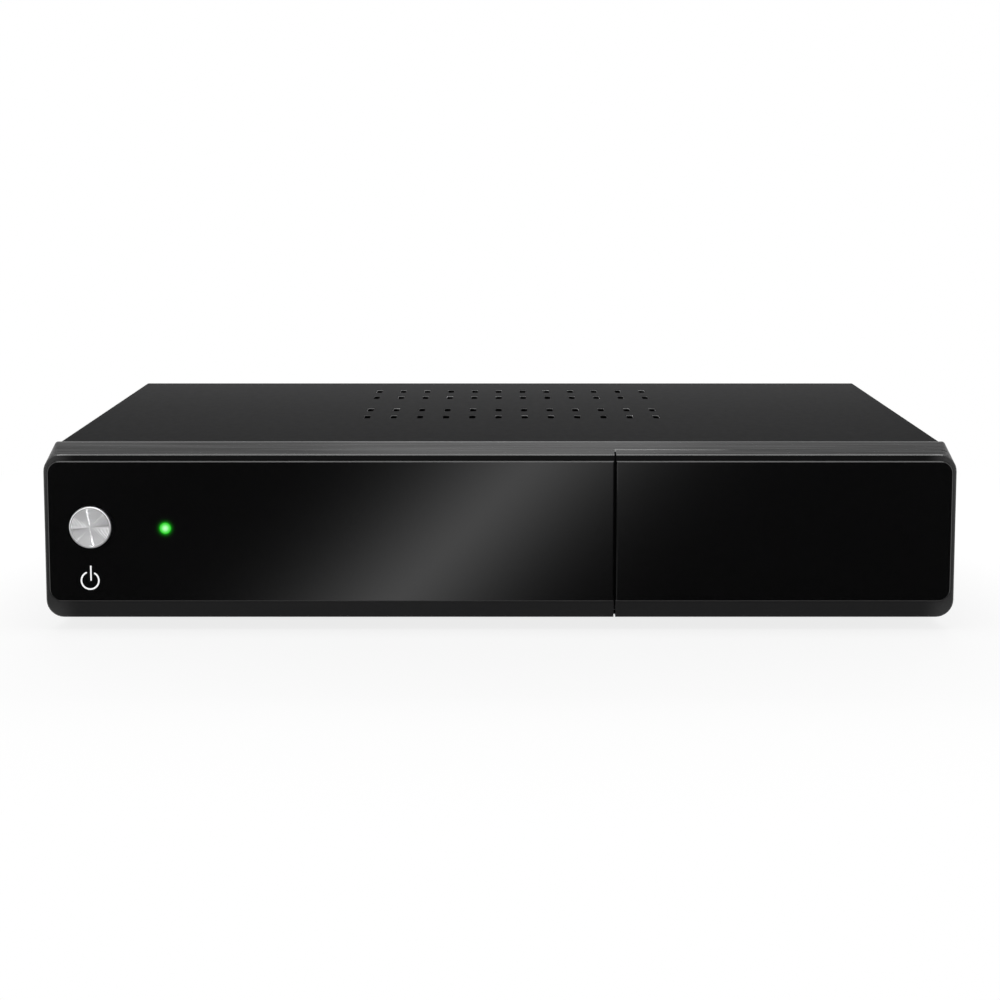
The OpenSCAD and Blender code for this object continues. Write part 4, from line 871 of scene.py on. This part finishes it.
# Button cap with turned rings across its face and a rounded rim
def makeButtonCap(setup):
    land = buttonRadius - setup["rim"]
    count = setup["rings"] * setup["ringPoints"]
    points = []
    for i in range(count + 1):
        wave = 1 - math.cos(2 * math.pi * i / setup["ringPoints"])
        points.append((land * i / count, buttonLow.y + wave * setup["ringDepth"] / 2))
    for i in range(1, setup["rimPoints"] + 1):
        turn = math.pi / 2 * i / setup["rimPoints"]
        points.append((land + setup["rim"] * math.sin(turn),
                       buttonLow.y + setup["rim"] * (1 - math.cos(turn))))
    rear, socket, stem = buttonHigh.y, buttonMid.y, setup["stem"]
    points += [(buttonRadius, rear), (stem, rear), (stem, socket), (0, socket)]
    bm = bmesh.new()
    spinProfile(bm, points, buttonMid, setup["steps"])
    cap = addPiece("buttonCap", bm, finishes["button_aluminium"], "button",
                   setup["smooth"])
    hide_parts("power_button_cap")


makeButtonCap(buttonSet)
print("button cap made")


# Power symbol under the button: a broken ring and a stem, printed on the plate
symbolSet = {
    "drop": 15.5 * mm,        # from the button's middle to the ring's middle
    "aside": -0.47 * mm,
    "ring": 2.49 * mm,
    "stroke": 0.45 * mm,
    "gap": 29,                # degrees from the gap's middle to each end of the ring
    "lean": 3.8,              # degrees from the top to the middle of the ring's gap
    "stem": 0.42 * mm,
    "stemAside": 0.27 * mm,
    "stemUp": 4.3 * mm,
    "stemDown": 0.02 * mm,
    "ink": 0.02 * mm,
    "steps": 48,
    "endSteps": 8,
}


def makeSymbol(setup):
    centre = Vector((buttonMid.x + setup["aside"], frontY - setup["ink"],
                     buttonMid.z - setup["drop"]))
    half = setup["stroke"] / 2
    gap = math.radians(setup["gap"])
    lean = math.radians(setup["lean"])
    bm = bmesh.new()

    # A chain across the stroke, from offsets to the ring's radius
    def across(angle, offsets):
        out = Matrix.Rotation(angle, 3, "Y") @ Vector((0, 0, 1))
        return addChain(bm, [centre + out * (setup["ring"] + offset) for offset in offsets])

    bmesh.ops.spin(bm, geom=across(lean + gap, (-half, 0, half)), cent=centre, axis=(0, 1, 0),
                   angle=2 * math.pi - 2 * gap, steps=setup["steps"])
    for sign in (-1, 1):
        end = across(lean + sign * gap, (0, half))
        bmesh.ops.spin(bm, geom=end, cent=end[0].co, axis=(0, -sign, 0),
                       angle=math.pi, steps=setup["endSteps"])
    mergeDoubles(bm)
    up, down = setup["stemUp"], setup["stemDown"]
    stemMid = centre + Vector((setup["stemAside"], 0, (up - down) / 2))
    addRectangle(bm, (setup["stem"], up + down), stemMid)
    raiseInk(bm, setup["ink"])
    addPiece("powerSymbol", bm, printInk, "case")


makeSymbol(symbolSet)
print("print made")


# Aerial connectors: a helical thread round a tube that holds the insulator
threadSet = {
    "pitch": 0.8 * mm,
    "depth": 0.4 * mm,
    "shape": [                # share of the pitch, and of the depth
        (0.0, 0.0), (0.32, 1.0), (0.48, 1.0), (0.8, 0.0), (1.0, 0.0)],
    "turnSteps": 40,
    "lead": 0.4 * mm,
    "capScale": 0.86,         # the thread's ends are closed inside the tube's wall
    "tubeSteps": 64,
    "smooth": 35,
    "crestColour": (0.72, 0.69, 0.62),
    "rootShadeColour": (0.16, 0.15, 0.13),
    "rootShadeEnd": (0.04 * mm, 0.4 * mm),   # below the crest
    "faceEnd": (0.4 * mm, 0.48 * mm),   # the tube's bright end, from its face
    "roughness": 0.28,
    "roughSpread": 0.12,
    "cloud": mm,
    "cloudDepth": 0.004 * mm,
}


# Nickel, painted darker towards the thread's root as painted shade; the crests and the tube's end
# face keep the bright metal
def threadMetal(name, setup, low, high):
    f = Finish(name, {"Metallic": 1.0})
    crest = (high.z - low.z) / 2
    apart = (high.x - low.x) / 2 - crest
    aside = (f.x - (low.x + high.x) / 2).math("ABSOLUTE") - apart
    rise = f.z - (low.z + high.z) / 2
    radius = (aside * aside + rise * rise).math("SQRT")
    unshaded = f.fade(crest - radius, *setup["rootShadeEnd"])
    face = f.fade(high.y - f.y, *setup["faceEnd"])
    cloud = f.noise(setup["cloud"], 3.0)
    f.put({
        "Base Color": f.mix(
            unshaded.math("MAXIMUM", face), setup["rootShadeColour"], setup["crestColour"]),
        "Roughness": around(setup["roughness"], setup["roughSpread"], cloud),
    })
    f.bump(cloud, setup["cloudDepth"])
    return f


def makeThreads(setup):
    low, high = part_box("aerial_barrels")
    coreLow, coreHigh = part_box("aerial_insulators")
    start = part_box("aerial_nuts")[0].y
    end = high.y - setup["lead"]
    crest = (high.z - low.z) / 2
    root = crest - setup["depth"]
    bore = (coreHigh.z - coreLow.z) / 2
    centre = Vector((low.x + crest, 0, low.z + crest))
    bm = bmesh.new()

    # The helix starts a turn early and ends late, and both ends are cut square
    pitch = setup["pitch"]
    turns = math.ceil((end - start) / pitch) + 2
    chain = addChain(bm, [
        (centre.x + root + rise * setup["depth"], start + (share - 1) * pitch, centre.z)
        for share, rise in setup["shape"]])
    bmesh.ops.spin(bm, geom=chain, cent=centre, axis=(0, 1, 0), angle=2 * math.pi * turns,
                   steps=turns * setup["turnSteps"], dvec=(0, pitch / setup["turnSteps"], 0))
    mergeDoubles(bm)
    loops = []
    for y, away in ((start, -1), (end, 1)):
        cut = bmesh.ops.bisect_plane(bm, geom=wholeMesh(bm), plane_co=(0, y, 0),
                                     plane_no=(0, away, 0), clear_outer=True)["geom_cut"]
        rim = bmesh.ops.extrude_edge_only(bm, edges=pick(cut, BMEdge))["geom"]
        inner = pick(rim, BMVert)
        bmesh.ops.scale(bm, verts=inner, vec=(setup["capScale"], 1, setup["capScale"]),
                        space=Matrix.Translation(-centre))
        loops += [edge for edge in pick(rim, BMEdge) if all(v in inner for v in edge.verts)]
    bmesh.ops.bridge_loops(bm, edges=loops)

    tube = [(0, low.y), (root, low.y), (root, end), (root - setup["lead"], high.y),
            (bore, high.y), (bore, coreLow.y), (0, coreLow.y)]
    spinProfile(bm, tube, centre, setup["tubeSteps"])
    twin = bmesh.ops.duplicate(bm, geom=wholeMesh(bm))["geom"]
    bmesh.ops.translate(bm, verts=pick(twin, BMVert), vec=(high.x - low.x - 2 * crest, 0, 0))
    metal = threadMetal("threadMetal", setup, low, high)
    threads = addPiece("aerialThreads", bm, metal, "case", setup["smooth"])
    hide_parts("aerial_barrels")


makeThreads(threadSet)
print("threads made")


# Gold contacts: bent springs in the network socket and flat blades on the tongues of the others.
# A path runs inwards from the mouth, in mm of depth and of height from the socket's middle.
contactSets = {
    "networkContacts": {
        "node": "network_socket", "count": 8, "pitch": 1.02 * mm, "size": (0.42 * mm, 0.3 * mm),
        "path": [(1.6, -4.5), (2.4, -4.4), (8.0, -2.0), (9.0, -1.8), (10.0, -2.0)]},
    "usbContacts": {
        "node": "rear_usb_socket", "count": 4, "pitch": 2.3 * mm, "size": (1.1 * mm, 0.16 * mm),
        "path": [(2.3, -0.02), (2.6, -0.07), (9.0, -0.07)]},
    "videoContacts": {
        "node": "hdmi_socket", "count": 10, "pitch": 1.0 * mm, "size": (0.5 * mm, 0.12 * mm),
        "path": [(2.3, 0.58), (2.5, 0.62), (8.0, 0.62)]},
    "frontUsbContacts": {
        "node": "front_usb_socket", "count": 4, "pitch": 2.3 * mm, "size": (1.1 * mm, 0.16 * mm),
        "path": [(2.3, -0.02), (2.6, -0.07), (9.0, -0.07)], "front": True},
}


def makeContacts(name, setup):
    low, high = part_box(setup["node"])
    middle = (low + high) / 2
    mouth, inward = (low.y, 1) if setup.get("front") else (high.y, -1)
    path = [Vector((middle.x, mouth + inward * deep * mm, middle.z + up * mm))
            for deep, up in setup["path"]]
    bm = bmesh.new()
    for i in range(setup["count"]):
        aside = Vector(((i - (setup["count"] - 1) / 2) * setup["pitch"], 0, 0))
        face = addRectangle(bm, setup["size"], path[0] + aside)[0].link_faces[0]
        for here, there in zip(path, path[1:]):
            grown = bmesh.ops.extrude_face_region(bm, geom=[face, *face.edges])["geom"]
            bmesh.ops.translate(bm, verts=pick(grown, BMVert), vec=there - here)
            face = pick(grown, BMFace)[0]
    addPiece(name, bm, finishes["contact_gold"], "case")


for name, setup in contactSets.items():
    makeContacts(name, setup)
print("contacts made:", len(contactSets))


# On and off marks printed on the two halves of the rocker's face
markSet = {
    "joint": "rocker_tilt",
    "tilt": 10,               # degrees of each half from the face's middle plane, and at rest
    "lift": 2.6 * mm,         # from the pivot to the face's middle
    "up": 4.6 * mm,
    "ring": 1.35 * mm,
    "stroke": 0.4 * mm,
    "bar": 2.9 * mm,
    "ink": 0.03 * mm,
    "steps": 40,
}


def makeMarks(setup):
    joints = frame["record"]["behaviour"]["joints"]
    pivot = Vector(next(j for j in joints if j["name"] == setup["joint"])["pos_m"])
    half = setup["stroke"] / 2
    tilt = math.radians(setup["tilt"])
    height = setup["lift"] + setup["up"] * math.tan(tilt)
    bm = bmesh.new()
    bar = addRectangle(bm, (setup["stroke"], setup["bar"]), (0, 0, 0))
    stroke = [(setup["ring"] - half, 0), (setup["ring"] + half, 0)]
    spinProfile(bm, stroke, Vector(), setup["steps"])
    ring = [v for v in bm.verts if v not in bar]
    for verts, side in ((bar, 1), (ring, -1)):
        bmesh.ops.rotate(bm, verts=verts, matrix=Matrix.Rotation(-side * tilt, 3, "X"))
        bmesh.ops.translate(bm, verts=verts, vec=(0, height, side * setup["up"]))
    raiseInk(bm, setup["ink"])
    bmesh.ops.rotate(bm, verts=bm.verts, matrix=Matrix.Rotation(-tilt, 3, "X"))
    bmesh.ops.translate(bm, verts=bm.verts, vec=pivot)
    addPiece("rockerMarks", bm, printInk, "rocker")


makeMarks(markSet)
print("rocker marks made")
